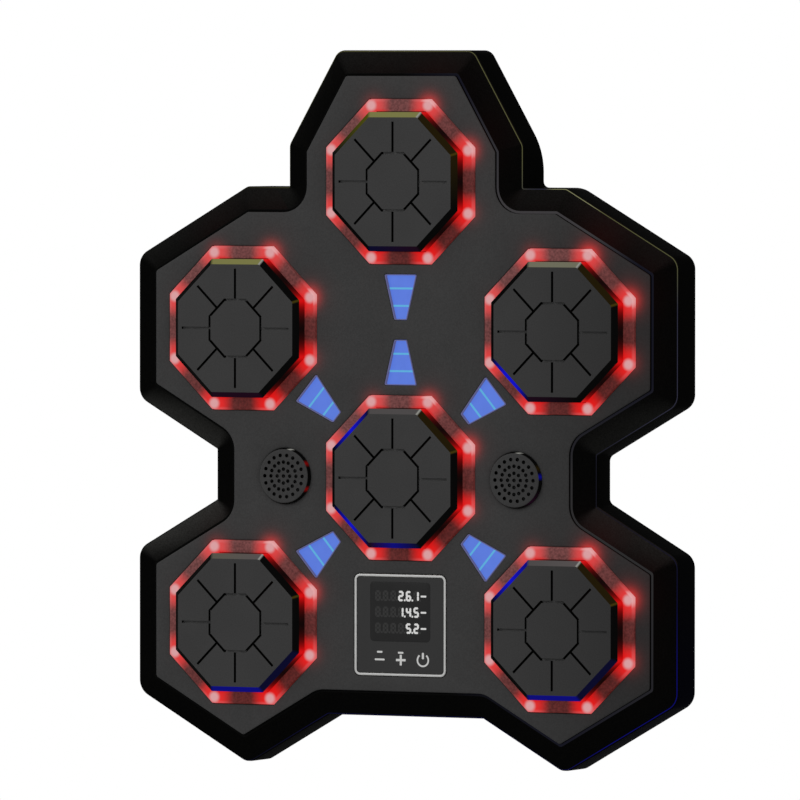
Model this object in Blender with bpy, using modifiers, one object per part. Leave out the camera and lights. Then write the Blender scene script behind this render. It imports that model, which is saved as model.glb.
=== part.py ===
"""Boxing punch machine: six sprung octagonal targets in a lobed housing that hangs on a wall.

The wall is the plane y = 0, the machine's front looks along -y and +z is up. The origin lies on the
wall behind the middle target. All sizes are in metres, and a depth is a distance forward of the wall.
"""

import math

import bmesh
import bpy
from mathutils import Matrix, Vector

# Places of the six targets
COLUMN_X = 0.1154            # side targets from the centre line
ROW_Z = 0.0970               # side targets above and below the middle one
TOP_Z = 0.1940               # top target above the middle one
TARGETS = {
    "top": (0.0, TOP_Z),
    "middle": (0.0, 0.0),
    "upper_left": (-COLUMN_X, ROW_Z),
    "upper_right": (COLUMN_X, ROW_Z),
    "lower_left": (-COLUMN_X, -ROW_Z),
    "lower_right": (COLUMN_X, -ROW_Z),
}

# Outline of the housing: the plate's margin between a light ring's flats and the sloping band
SIDE_MARGIN = 0.01115        # round each side target
INNER_LOW_MARGIN = 0.01115   # the lower targets' edge that faces the centre line
TOP_MARGIN = 0.01575         # round the top target
HEAD_MARGIN = 0.01525        # upright edges of the top lobe
SHOULDER_RISE = 0.0933       # shoulder above the upper row of targets
WAIST_REACH = 0.0234         # waist outside the side targets' axes
CHIN_DROP = 0.0597           # bottom edge between the lower lobes, below the lower row
WAIST_TUCK = 0.0030          # the waist is this much narrower at the wall
HEAD_FLARE = 0.0024          # the top lobe is this much wider at the wall, each side

# Depths
PLATE_DEPTH = 0.0348
WALL_GAP = 0.0008            # housing rim to wall
PLATE_PROUD = 0.0015         # plate in front of the band's inner edge
BAND_RISE = 0.0066           # the band's inner edge in front of its outer one
RING_PROUD = 0.0012
CAP_PROUD = 0.0116           # target face in front of the plate
GRILLE_PROUD = 0.0030

# Walls and clearances
GAP = 0.0003                 # between pieces that seat on or in each other
SHELL_WALL = 0.0020
PLATE_THICK = 0.0025
COVER_THICK = 0.0030
BAND_WIDTH = 0.0164
LEDGE_WIDTH = 0.0022         # ledge that the front plate rests on
EDGE_ROUND = 0.0016          # rounding between the side wall and the band
LIP_ROUND = 0.0006
LEAST_CORNER = 0.0025        # sharpest convex corner after an inset

# Target
TRAVEL = 0.0040
CAP_FACE_HALF = 0.04215      # half the distance across flats of the face
CAP_CHAMFER = 0.0034
CAP_WALL = 0.0022
CAP_FACE_THICK = 0.0038      # thicker than the walls, for the grooves
CAP_FLANGE = 0.0020          # how far the stop flange stands out of the skirt
CAP_FLANGE_THICK = 0.0018
CAP_SIDE_GAP = 0.0004        # skirt to light ring, all round
STEM_HALF = 0.0042
COLLAR_SIDE_GAP = 0.0010     # the spring's outside to the locating collar on the cap
COLLAR_WALL = 0.0015
COLLAR_LENGTH = 0.0040
GROOVE_WIDTH = 0.0011
GROOVE_DEEP = 0.0020
GROOVE_RING_HALF = 0.01875   # middle of the octagonal groove
GROOVE_END_MARGIN = 0.0028   # radial grooves stop this far inside the face's edge

# Light ring and its board
RING_WIDTH = 0.0078
RING_SKIRT = 0.0018          # flange behind the plate
RING_SKIRT_WALL = 0.0010
RING_DEEP = 0.0038           # the guide's back behind the plate's front
RING_SKIRT_DEEP = 0.0055     # the skirt's end behind the plate's front
BOARD_THICK = 0.0012
BOARD_HOLE_GAP = 0.0015      # cap flange to the board's hole
LED_SIZE = 0.0040
LED_HEIGHT = 0.0016
LED_SINK = 0.0002
LED_EDGE_GAP = 0.0005        # light to the corner of the board's hole

# Return spring and switch
SPRING_RADIUS = 0.0079       # middle of the wire
SPRING_WIRE = 0.0012
SPRING_TURNS = 3             # between the closed turn at each end
SPRING_POINTS = 8            # points in each turn
SWITCH_HEIGHT = 0.0036
PLUNGER_RADIUS = 0.0030
TUBE_HEIGHT = 0.0090         # guide tubes on the cover, whose rims carry the springs
TUBE_MARGIN = 0.0006         # tube wall beyond the wire, inside and outside
PILLAR_EDGE_GAP = 0.0010     # pillar to the edge of the light board it carries

# Light windows
WINDOW_WIDE = 0.0236
WINDOW_NARROW = 0.0091
WINDOW_LENGTH = 0.0298
WINDOW_CORNER = 0.0010
WINDOW_RING_GAP = 0.00695    # light ring's flats to the window's near end
WINDOW_BORDER = 0.0020       # lens border hidden behind the plate
WINDOW_LENS_THICK = 0.0020
WINDOW_RIB_WIDTH = 0.0013
WINDOW_RIB_PROUD = 0.0007
WINDOW_RIB_MARGIN = 0.0092   # rib from either end

# Speakers
SPEAKER_X = 0.0840
GRILLE_RADIUS = 0.0180
GRILLE_FACE = 0.0015
GRILLE_WALL = 0.0015
GRILLE_FLANGE = 0.0025
GRILLE_FLANGE_THICK = 0.0012
GRILLE_ROUND = 0.0008
GRILLE_HOLE = 0.0010
GRILLE_CIRCLES = ((0.0, 1), (0.0046, 8), (0.0092, 16), (0.01375, 18))   # radius and number of holes
DRIVER_RADIUS = 0.0170
DRIVER_DEEP = 0.0120
DRIVER_STEPS = 16
MAGNET_RADIUS = 0.0105
MAGNET_DEEP = 0.0050
DOME_RADIUS = 0.0051
DOME_SINK = 0.0035           # middle of the dome behind the rim
CONE_SINK = 0.0045           # where the cone meets the dome behind the rim
ROLL_WIDTH = 0.0018          # soft roll between the cone and the rim
ROLL_SINK = 0.0010
RIM_WIDTH = 0.0012
RIM_THICK = 0.0020
BASKET_FLARE = 0.0015        # basket outside the magnet

# Control panel
PANEL_Z = -0.0965
PANEL_SIZE = 0.0666
PANEL_CORNER = 0.0040
PANEL_LINE = 0.0016
PANEL_PROUD = 0.0002
DISPLAY_LIFT = 0.0088        # middle of the display above the panel's
DISPLAY_WIDTH = 0.0441
DISPLAY_HEIGHT = 0.0395
DISPLAY_CORNER = 0.0026
DISPLAY_DEEP = 0.0050
KEY_BOARD_BORDER = 0.0030
MODULE_MARGIN = 0.0010       # display module inside the opening in the film

# Inside the housing
MAIN_BOARD = (0.0700, 0.0460, 0.0016)
MAIN_BOARD_DEPTH = 0.0100
STANDOFF_MARGIN = 0.0040     # standoffs inside the board's edges
CHIP = ((0.0100, 0.0100, 0.0014), (-0.0080, 0.0040))     # size, and place from the board's middle
PLUGS = [
    ((0.0120, 0.0050, 0.0060), (0.0180, 0.0140)),
    ((0.0050, 0.0120, 0.0060), (-0.0260, -0.0040)),
]
BATTERY = (0.0580, 0.0420, 0.0090)
BATTERY_EDGE = 0.0015
RIB_THICK = 0.0020
RIB_HEIGHT = 0.0060
PILLAR_RADIUS = 0.0022
USB_DEPTH = 0.0140
USB_WIDTH = 0.0090
USB_HEIGHT = 0.0032
USB_LENGTH = 0.0075
USB_WALL = 0.0004
USB_POCKET = 0.0055
USB_BOARD = (0.0160, 0.0110)

# Fixings
POST_RADIUS = 0.0030
POST_INSET = 0.0085
POST_X = 0.0400              # posts of the top and bottom edges from the centre line
SCREW_RADIUS = 0.0013
SCREW_HEAD_RADIUS = 0.0027
SCREW_HEAD_HEIGHT = 0.0014
SCREW_HEAD_SINK = 0.0018
SCREW_LENGTH = 0.0120
KEYHOLE_X = 0.0600
KEYHOLE_Z = 0.1200
KEYHOLE_ENTRY = 0.0050
KEYHOLE_SLOT = 0.0050
KEYHOLE_LIFT = 0.0110

WELD = 1e-6                  # points this close are one
FLAT_ANGLE = 1e-3            # faces this nearly level with each other are one, in radians
OCTAGON = 8
ROUND_STEPS = 20
TUBE_STEPS = 12
SMALL_STEPS = 8
LEAST_STEPS = 6
HALF_SIDE = math.cos(math.pi / OCTAGON)      # apothem over corner radius of an octagon
FORWARD = Matrix.Rotation(math.pi / 2, 4, "X")   # local +z becomes -y, local +y becomes +z

LIP_DEPTH = PLATE_DEPTH - PLATE_PROUD        # inner edge of the band
EDGE_DEPTH = LIP_DEPTH - BAND_RISE           # where the side wall turns into the band
RING_DEPTH = PLATE_DEPTH + RING_PROUD
RING_BACK_DEPTH = PLATE_DEPTH - RING_DEEP
RING_SKIRT_DEPTH = PLATE_DEPTH - RING_SKIRT_DEEP
CAP_DEPTH = PLATE_DEPTH + CAP_PROUD
PLATE_BACK = PLATE_DEPTH - PLATE_THICK
CAP_SKIRT_HALF = CAP_FACE_HALF + CAP_CHAMFER
RING_INNER_HALF = CAP_SKIRT_HALF + CAP_SIDE_GAP
RING_OUTER_HALF = RING_INNER_HALF + RING_WIDTH
BEHIND_PLATE = PLATE_BACK - GAP
SIDE_END = EDGE_DEPTH - EDGE_ROUND           # depth where the side wall starts to round over
BOARD_DEPTH = RING_SKIRT_DEPTH - GAP
SEAT_DEPTH = COVER_THICK + GAP               # what stands on the back cover starts here
STEM_END_DEPTH = SEAT_DEPTH + 2 * SWITCH_HEIGHT + GAP + TRAVEL
TUBE_INNER = SPRING_RADIUS - SPRING_WIRE / 2 - TUBE_MARGIN       # the tubes' inner radius
SWITCH_SIZE = math.sqrt(2) * (TUBE_INNER * math.cos(math.pi / TUBE_STEPS) - GAP)

SIDE_APOTHEM = RING_OUTER_HALF + SIDE_MARGIN + BAND_WIDTH        # from a target's axis to the outline
INNER_LOW_APOTHEM = RING_OUTER_HALF + INNER_LOW_MARGIN + BAND_WIDTH
TOP_APOTHEM = RING_OUTER_HALF + TOP_MARGIN + BAND_WIDTH
HEAD_HALF_WIDTH = RING_OUTER_HALF + HEAD_MARGIN + BAND_WIDTH
SHOULDER_Z = ROW_Z + SHOULDER_RISE
WAIST_X = COLUMN_X + WAIST_REACH
CHIN_Z = ROW_Z + CHIN_DROP                   # below the middle target
WINDOW_REACH = RING_OUTER_HALF + WINDOW_RING_GAP                 # target's axis to a window's near end
DISPLAY_Z = PANEL_Z + DISPLAY_LIFT
BATTERY_Z = ROW_Z
MAIN_BOARD_Z = -ROW_Z


# Scene, materials and naming

def clear_scene():
    """Remove what the file holds, so that the script can be run again."""
    for obj in list(bpy.data.objects):
        bpy.data.objects.remove(obj)


def new_collection(name):
    """Make a collection in the scene."""
    made = bpy.data.collections.new(name)
    bpy.context.scene.collection.children.link(made)
    return made


def make_material(name, colour, roughness, metallic=0.0, glow=0.0):
    """Make a Principled material, which may be lit."""
    made = bpy.data.materials.new(name)
    made.use_nodes = True
    shader = made.node_tree.nodes["Principled BSDF"]
    shader.inputs["Base Color"].default_value = (*colour, 1.0)
    shader.inputs["Roughness"].default_value = roughness
    shader.inputs["Metallic"].default_value = metallic
    shader.inputs["Emission Color"].default_value = (*colour, 1.0)
    shader.inputs["Emission Strength"].default_value = glow
    made.diffuse_color = (*colour, 1.0)
    return made


clear_scene()
MACHINE = new_collection("boxing_punch_machine")
CUTTERS = new_collection("cutters")
MATT_GREY = make_material("matt_grey_plastic", (0.042, 0.042, 0.042), 0.55)
BLACK = make_material("black_plastic", (0.004, 0.004, 0.004), 0.30)
RED_LIGHT = make_material("red_light_guide", (0.60, 0.02, 0.02), 0.35, glow=0.6)
BLUE_LIGHT = make_material("blue_light_window", (0.09, 0.18, 0.67), 0.40, glow=0.6)
SILVER = make_material("silver_trim", (0.60, 0.60, 0.58), 0.30, metallic=0.9)
PANEL_FILM = make_material("panel_film", (0.033, 0.033, 0.032), 0.40)
SMOKED = make_material("smoked_lens", (0.016, 0.016, 0.016), 0.12)
STEEL = make_material("spring_steel", (0.55, 0.55, 0.55), 0.30, metallic=1.0)
GREEN_BOARD = make_material("circuit_board", (0.02, 0.12, 0.05), 0.50)
CELL_WRAP = make_material("cell_wrap", (0.05, 0.11, 0.25), 0.35)


# Outline of the housing

def edge_line(normal_degrees, distance, centre=(0.0, 0.0)):
    """Give a line as its outward normal and its distance from the origin."""
    normal = Vector((math.cos(math.radians(normal_degrees)), math.sin(math.radians(normal_degrees))))
    return normal, distance + normal.dot(Vector(centre))


def crossing(first, second):
    """Give the point where two lines meet."""
    (n1, d1), (n2, d2) = first, second
    det = n1.x * n2.y - n1.y * n2.x
    return Vector(((d1 * n2.y - d2 * n1.y) / det, (n1.x * d2 - n2.x * d1) / det))


def right_edges(tuck=0.0, flare=0.0):
    """List the right half's edges clockwise from the top, with the waist's tuck and the head's flare."""
    upper, lower = TARGETS["upper_right"], TARGETS["lower_right"]
    return [
        edge_line(90, TOP_APOTHEM, TARGETS["top"]),
        edge_line(30, TOP_APOTHEM, TARGETS["top"]),
        edge_line(0, HEAD_HALF_WIDTH + flare),
        edge_line(90, SHOULDER_Z),
        edge_line(60, SIDE_APOTHEM, upper),
        edge_line(0, SIDE_APOTHEM, upper),
        edge_line(-60, SIDE_APOTHEM, upper),
        edge_line(0, WAIST_X - tuck),
        edge_line(60, SIDE_APOTHEM, lower),
        edge_line(0, SIDE_APOTHEM, lower),
        edge_line(-60, SIDE_APOTHEM, lower),
        edge_line(-120, INNER_LOW_APOTHEM, lower),
        edge_line(-90, CHIN_Z),
    ]


# Each corner of the right half: radius at the front edge, radius at the wall, facets of its arc
CORNERS = [
    (0.0080, 0.0080, 3),     # top
    (0.0080, 0.0500, 3),     # top lobe, above its upright edge
    (0.0005, 0.0040, 3),     # shoulder, hollow
    (0.0060, 0.0200, 2),     # shoulder, outer
    (0.0110, 0.0110, 3),     # upper lobe, outer
    (0.0110, 0.0110, 3),
    (0.0005, 0.0050, 2),     # waist, hollow
    (0.0005, 0.0050, 2),
    (0.0110, 0.0110, 3),     # lower lobe, outer
    (0.0120, 0.0120, 3),
    (0.0100, 0.0100, 3),     # lowest point
    (0.0005, 0.0060, 2),     # chin, hollow
]


def arc(corner, into, out_of, radius, facets):
    """Round a corner between two unit directions with a tangent arc."""
    turn = into.angle(out_of)
    reach = radius * math.tan(turn / 2)
    side = 1.0 if into.cross(out_of) > 0 else -1.0
    start = corner - into * reach
    centre = start + Vector((-into.y, into.x)) * side * radius
    spoke = start - centre
    return [centre + Matrix.Rotation(side * turn * i / facets, 2) @ spoke for i in range(facets + 1)]


def wall_share(depth):
    """Give how far back a depth is, from 0 where the side wall ends to 1 at its rim."""
    return min(max((SIDE_END - depth) / (SIDE_END - WALL_GAP), 0.0), 1.0)


def outline(inset=0.0, depth=EDGE_DEPTH, waist_depth=None):
    """Give the housing's outline at a depth, moved inwards by an inset, clockwise from the top.

    A straight-sided piece that spans several depths takes its waist from its own waist_depth.
    """
    share = wall_share(depth)
    tuck = WAIST_TUCK * wall_share(depth if waist_depth is None else waist_depth)
    lines = [(normal, distance - inset) for normal, distance in right_edges(tuck, HEAD_FLARE * share)]
    points = []
    for i, (front_radius, wall_radius, facets) in enumerate(CORNERS):
        before, after = lines[i], lines[i + 1]
        into = Vector((before[0].y, -before[0].x))
        out_of = Vector((after[0].y, -after[0].x))
        radius = front_radius + (wall_radius - front_radius) * share
        hollow = into.cross(out_of) > 0
        radius = radius + inset if hollow else max(radius - inset, LEAST_CORNER)
        points += arc(crossing(before, after), into, out_of, radius, facets)
    return points + [Vector((-p.x, p.y)) for p in reversed(points)]


def regular(sides, across_half, centre=(0.0, 0.0)):
    """Give a regular polygon that stands on a flat side, by half its distance across flats."""
    reach = across_half / math.cos(math.pi / sides)
    angles = [2 * math.pi * (i + 0.5) / sides for i in range(sides)]
    return [Vector((centre[0] + reach * math.cos(a), centre[1] + reach * math.sin(a))) for a in angles]


def circle(radius, centre, steps):
    """Give the points of a circle."""
    angles = [2 * math.pi * i / steps for i in range(steps)]
    return [Vector((centre[0] + radius * math.cos(a), centre[1] + radius * math.sin(a))) for a in angles]


def rounded_polygon(corners, radius, facets):
    """Round all the corners of a convex polygon."""
    points = []
    count = len(corners)
    for i, corner in enumerate(corners):
        into = (corner - corners[i - 1]).normalized()
        out_of = (corners[(i + 1) % count] - corner).normalized()
        points += arc(corner, into, out_of, radius, facets)
    return points


def rectangle(width, height, centre):
    """Give a rectangle's corners."""
    x, z = centre
    signs = ((1, 1), (-1, 1), (-1, -1), (1, -1))
    return [Vector((x + sx * width / 2, z + sz * height / 2)) for sx, sz in signs]


def rounded_rectangle(width, height, radius, centre, facets=3):
    """Give a rectangle with round corners."""
    return rounded_polygon(rectangle(width, height, centre), radius, facets)


# Making solids

def put(obj, finish, collection=None):
    """Give an object its material and move it to a collection."""
    for old in list(obj.users_collection):
        old.objects.unlink(obj)
    (collection or MACHINE).objects.link(obj)
    if finish:
        obj.data.materials.clear()
        obj.data.materials.append(finish)
    return obj


def as_mesh(obj, flat=False):
    """Turn an object with its modifiers into a plain mesh object of the same name and place.

    On a flat piece without holes, each side becomes one face, which Booleans cut cleanly.
    """
    bpy.context.view_layer.update()
    graph = bpy.context.evaluated_depsgraph_get()
    mesh = bpy.data.meshes.new_from_object(obj.evaluated_get(graph))
    shape = bmesh.new()
    shape.from_mesh(mesh)
    bmesh.ops.remove_doubles(shape, verts=shape.verts, dist=WELD)
    if flat:
        bmesh.ops.dissolve_limit(shape, angle_limit=FLAT_ANGLE, verts=shape.verts, edges=shape.edges)
    shape.to_mesh(mesh)
    shape.free()
    name, place, home = obj.name, obj.matrix_world.copy(), obj.users_collection[0]
    bpy.data.objects.remove(obj)
    made = bpy.data.objects.new(name, mesh)
    made.matrix_world = place
    home.objects.link(made)
    return made


def flat_piece(name, loops, back, front, finish, collection=None):
    """Extrude closed outlines in the x-z plane between two depths; inner outlines are holes."""
    curve = bpy.data.curves.new(name, "CURVE")
    curve.dimensions = "2D"
    curve.fill_mode = "BOTH"
    curve.extrude = (front - back) / 2
    curve.resolution_u = 1
    for loop in loops:
        spline = curve.splines.new("POLY")
        spline.points.add(len(loop) - 1)
        for point, place in zip(spline.points, loop):
            point.co = (place[0], place[1], 0.0, 1.0)
        spline.use_cyclic_u = True
    obj = bpy.data.objects.new(name, curve)
    obj.matrix_world = Matrix.Translation((0.0, -(front + back) / 2, 0.0)) @ FORWARD
    bpy.context.scene.collection.objects.link(obj)
    return put(obj, finish, collection)


def octagonal(name, profile, finish, closed=False, collection=None):
    """Turn a profile in eight steps, with half distances across flats for radii and its sides square."""
    return turned(name, profile, OCTAGON, (0.0, 0.0), finish, closed, collection, flats=True)


def turned(name, profile, steps, centre, finish, closed=False, collection=None, flats=False):
    """Turn a profile of (radius, depth) points about the forward axis through a centre."""
    scale = 1 / HALF_SIDE if flats else 1.0
    start = Matrix.Rotation(math.pi / steps if flats else 0.0, 3, "Z")
    shape = bmesh.new()
    verts = [shape.verts.new(start @ Vector((radius * scale, 0.0, depth))) for radius, depth in profile]
    for first, second in zip(verts, verts[1:] + verts[:1] if closed else verts[1:]):
        shape.edges.new((first, second))
    mesh = bpy.data.meshes.new(name)
    shape.to_mesh(mesh)
    shape.free()
    obj = bpy.data.objects.new(name, mesh)
    obj.matrix_world = Matrix.Translation((centre[0], 0.0, centre[1])) @ FORWARD
    bpy.context.scene.collection.objects.link(obj)
    screw = obj.modifiers.new("turn", "SCREW")
    screw.steps = screw.render_steps = steps
    screw.use_merge_vertices = True
    screw.merge_threshold = 1e-5
    return put(obj, finish, collection)


def block(name, size, centre, back, finish=None, collection=None, turn=0.0):
    """Make a box by its width, height and thickness, standing forward from a depth."""
    shape = bmesh.new()
    bmesh.ops.create_cube(shape, size=1.0, matrix=Matrix.Diagonal((size[0], size[2], size[1], 1.0)))
    mesh = bpy.data.meshes.new(name)
    shape.to_mesh(mesh)
    shape.free()
    obj = bpy.data.objects.new(name, mesh)
    place = Matrix.Translation((centre[0], -back - size[2] / 2, centre[1]))
    obj.matrix_world = place @ Matrix.Rotation(-turn, 4, "Y")
    bpy.context.scene.collection.objects.link(obj)
    return put(obj, finish, collection)


def pins(name, radius, places, back, front, steps=SMALL_STEPS):
    """Make a set of separate round pins along the forward axis, as one cutter or one set of bosses."""
    shape = bmesh.new()
    for x, z in places:
        place = Matrix.Translation((x, -(back + front) / 2, z)) @ FORWARD
        bmesh.ops.create_cone(shape, cap_ends=True, segments=steps, radius1=radius, radius2=radius,
                              depth=front - back, matrix=place)
    mesh = bpy.data.meshes.new(name)
    shape.to_mesh(mesh)
    shape.free()
    obj = bpy.data.objects.new(name, mesh)
    bpy.context.scene.collection.objects.link(obj)
    return put(obj, None, CUTTERS)


def joined(name, objects):
    """Join separate helper shapes into one helper mesh."""
    shape = bmesh.new()
    for obj in objects:
        piece = obj.data.copy()
        piece.transform(obj.matrix_world)
        shape.from_mesh(piece)
        bpy.data.objects.remove(obj)
    mesh = bpy.data.meshes.new(name)
    shape.to_mesh(mesh)
    shape.free()
    made = bpy.data.objects.new(name, mesh)
    CUTTERS.objects.link(made)
    return made


def combine(obj, helper, operation):
    """Add a Boolean modifier whose helper is kept as a wire-frame cutter."""
    helper.hide_render = True
    helper.display_type = "WIRE"
    modifier = obj.modifiers.new(helper.name, "BOOLEAN")
    modifier.operation = operation
    modifier.object = helper
    return obj


def copies(first, places, names):
    """Place copies of one finished mesh at several targets."""
    mesh = first.data
    finish = mesh.materials[0]
    home = first.matrix_world.translation.copy()
    made = []
    for (x, z), name in zip(places, names):
        copy = bpy.data.objects.new(name, mesh)
        shift = Matrix.Translation(Vector((x, 0.0, z)) - Vector((home.x, 0.0, home.z)))
        copy.matrix_world = shift @ first.matrix_world
        MACHINE.objects.link(copy)
        made.append(copy)
    bpy.data.objects.remove(first)
    mesh.materials.clear()
    mesh.materials.append(finish)
    return made


def smooth(obj, sharp_degrees=35):
    """Shade a round piece smoothly up to its sharp edges."""
    obj.data.shade_smooth()
    obj.data.set_sharp_from_angle(angle=math.radians(sharp_degrees))
    return obj


# Housing

def post_places():
    """List the screw posts: two at the top, one at each lobe's flank and two at the chin."""
    top = TOP_Z + TOP_APOTHEM - POST_INSET
    flank = COLUMN_X + SIDE_APOTHEM - POST_INSET
    chin = -CHIN_Z + POST_INSET
    right = [(POST_X, top), (flank, ROW_Z), (flank, -ROW_Z), (POST_X, chin)]
    return right + [(-x, z) for x, z in right]


def band_depth(inset):
    """Give the sloping band's depth at a distance inside the outline."""
    share = (inset - EDGE_ROUND) / (BAND_WIDTH - LIP_ROUND - EDGE_ROUND)
    return EDGE_DEPTH + (LIP_DEPTH - EDGE_DEPTH) * share


def surround_shell():
    """Loft the housing's side wall, band and ledge through outlines at rising depths."""
    lip_inset = BAND_WIDTH - LIP_ROUND
    ledge = BEHIND_PLATE
    sections = [
        (outline(depth=WALL_GAP), WALL_GAP),
        (outline(), SIDE_END),
        (outline(EDGE_ROUND), EDGE_DEPTH),
        (outline(lip_inset), LIP_DEPTH),
        (outline(BAND_WIDTH), LIP_DEPTH - LIP_ROUND),
        (outline(BAND_WIDTH), ledge),
        (outline(BAND_WIDTH + LEDGE_WIDTH), ledge),
    ]
    shape = bmesh.new()
    rings = [[shape.verts.new((p.x, -depth, p.y)) for p in points] for points, depth in sections]
    count = len(rings[0])
    for back_ring, front_ring in zip(rings, rings[1:]):
        for i in range(count):
            j = (i + 1) % count
            shape.faces.new((back_ring[i], back_ring[j], front_ring[j], front_ring[i]))
    bmesh.ops.recalc_face_normals(shape, faces=shape.faces)
    mesh = bpy.data.meshes.new("surround_shell")
    shape.to_mesh(mesh)
    shape.free()
    obj = put(bpy.data.objects.new("surround_shell", mesh), BLACK)
    wall = obj.modifiers.new("wall", "SOLIDIFY")
    wall.thickness = SHELL_WALL
    wall.offset = -1.0
    wall.use_even_offset = True
    posts_front = band_depth(POST_INSET - POST_RADIUS) - SHELL_WALL / 4
    combine(obj, pins("posts", POST_RADIUS, post_places(), SEAT_DEPTH, posts_front), "UNION")
    hole_front = SEAT_DEPTH + SCREW_LENGTH + GAP
    holes = pins("post_holes", SCREW_RADIUS + GAP, post_places(), 0.0, hole_front, LEAST_STEPS)
    combine(obj, holes, "DIFFERENCE")
    slot = rounded_rectangle(USB_WIDTH + 2 * GAP, USB_HEIGHT + 2 * GAP, USB_HEIGHT / 2, (0.0, 0.0))
    low, high = -CHIN_Z - SHELL_WALL, -CHIN_Z + 2 * SHELL_WALL
    return combine(obj, along_z("usb_slot", slot, USB_DEPTH, low, high), "DIFFERENCE")


def along_z(name, loop, depth, low, high, finish=None, collection=None):
    """Extrude an outline in the x-y plane along z, centred on a depth."""
    obj = flat_piece(name, [loop], 0.0, high - low, finish, collection or CUTTERS)
    obj.matrix_world = Matrix.Translation((0.0, -depth, (low + high) / 2))
    return as_mesh(obj, flat=True)


def window_outline(grow=0.0):
    """Give a light window's outline, narrow end at the origin and wide end along +z."""
    length = WINDOW_LENGTH + 2 * grow
    flare = (WINDOW_WIDE - WINDOW_NARROW) / 2 / WINDOW_LENGTH
    slant = math.hypot(1.0, flare)
    near = WINDOW_NARROW / 2 + grow * slant - grow * flare
    far = near + length * flare
    corners = [Vector(c) for c in ((far, length), (-far, length), (-near, 0.0), (near, 0.0))]
    return [p - Vector((0.0, grow)) for p in rounded_polygon(corners, WINDOW_CORNER + grow / 2, 2)]


def window_places():
    """List each light window's name, narrow-end place and turn about the forward axis."""
    far_end = WINDOW_REACH + WINDOW_LENGTH
    places = {
        "top_upper": (Vector((0.0, TOP_Z - far_end)), 0.0),
        "top_lower": (Vector((0.0, far_end)), math.pi),
    }
    for name in ("upper_left", "upper_right", "lower_left", "lower_right"):
        way = Vector(TARGETS[name]).normalized()
        places[name] = (way * WINDOW_REACH, math.atan2(way.y, way.x) - math.pi / 2)
    return places


def turned_outline(points, place, angle):
    """Turn an outline and move it."""
    turn = Matrix.Rotation(angle, 2)
    return [turn @ p + place for p in points]


def front_plate():
    """Cut the flat front plate with all its openings."""
    loops = [outline(BAND_WIDTH + GAP)]
    loops += [regular(OCTAGON, RING_OUTER_HALF + GAP, centre) for centre in TARGETS.values()]
    loops += [turned_outline(window_outline(), *where) for where in window_places().values()]
    loops += [circle(GRILLE_RADIUS + GAP, (x, 0.0), ROUND_STEPS) for x in (-SPEAKER_X, SPEAKER_X)]
    opening = PANEL_SIZE + 2 * GAP
    loops.append(rounded_rectangle(opening, opening, PANEL_CORNER + GAP, (0.0, PANEL_Z)))
    return flat_piece("front_plate", loops, PLATE_BACK, PLATE_DEPTH, MATT_GREY)


def keyhole_outline(x):
    """Give a keyhole's outline: a round entry with a narrower slot above it."""
    entry, slot = KEYHOLE_ENTRY, KEYHOLE_SLOT / 2
    meet = math.asin(slot / entry)
    sweep = 2 * math.pi - 2 * meet
    low = [math.pi / 2 + meet + sweep * i / SMALL_STEPS for i in range(SMALL_STEPS + 1)]
    top = [math.pi * i / LEAST_STEPS for i in range(LEAST_STEPS + 1)]
    lift = KEYHOLE_Z + KEYHOLE_LIFT
    points = [Vector((x + entry * math.cos(a), KEYHOLE_Z + entry * math.sin(a))) for a in low]
    return points + [Vector((x + slot * math.cos(a), lift + slot * math.sin(a))) for a in top]


def pillar_places():
    """List the pillars that press each light board forward, at its left and right."""
    reach = RING_OUTER_HALF + RING_SKIRT - PILLAR_RADIUS - PILLAR_EDGE_GAP
    return [(x + side * reach, z) for x, z in TARGETS.values() for side in (-1, 1)]


def cover_ribs():
    """Make the ribs that stiffen the cover between the guide tubes, and the battery's two rails."""
    reach = SPRING_RADIUS + SPRING_WIRE / 2
    pairs = [("middle", name) for name in ("upper_left", "upper_right", "lower_left", "lower_right")]
    pairs += [("top", "upper_left"), ("top", "upper_right")]
    pairs += [("lower_left", "upper_left"), ("lower_right", "upper_right")]
    made = []
    for first, second in pairs:
        start, end = Vector(TARGETS[first]), Vector(TARGETS[second])
        way = end - start
        size = (way.length - 2 * reach, RIB_THICK, RIB_HEIGHT + GAP)
        angle = math.atan2(way.y, way.x)
        made.append(block("rib", size, (start + end) / 2, SEAT_DEPTH - 2 * GAP, turn=angle))
    rail_x = BATTERY[0] / 2 + GAP + RIB_THICK / 2
    rail = (RIB_THICK, BATTERY[1], RIB_HEIGHT)
    for side in (-1, 1):
        made.append(block("rail", rail, (side * rail_x, BATTERY_Z), SEAT_DEPTH - 2 * GAP))
    return joined("ribs", made)


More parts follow.
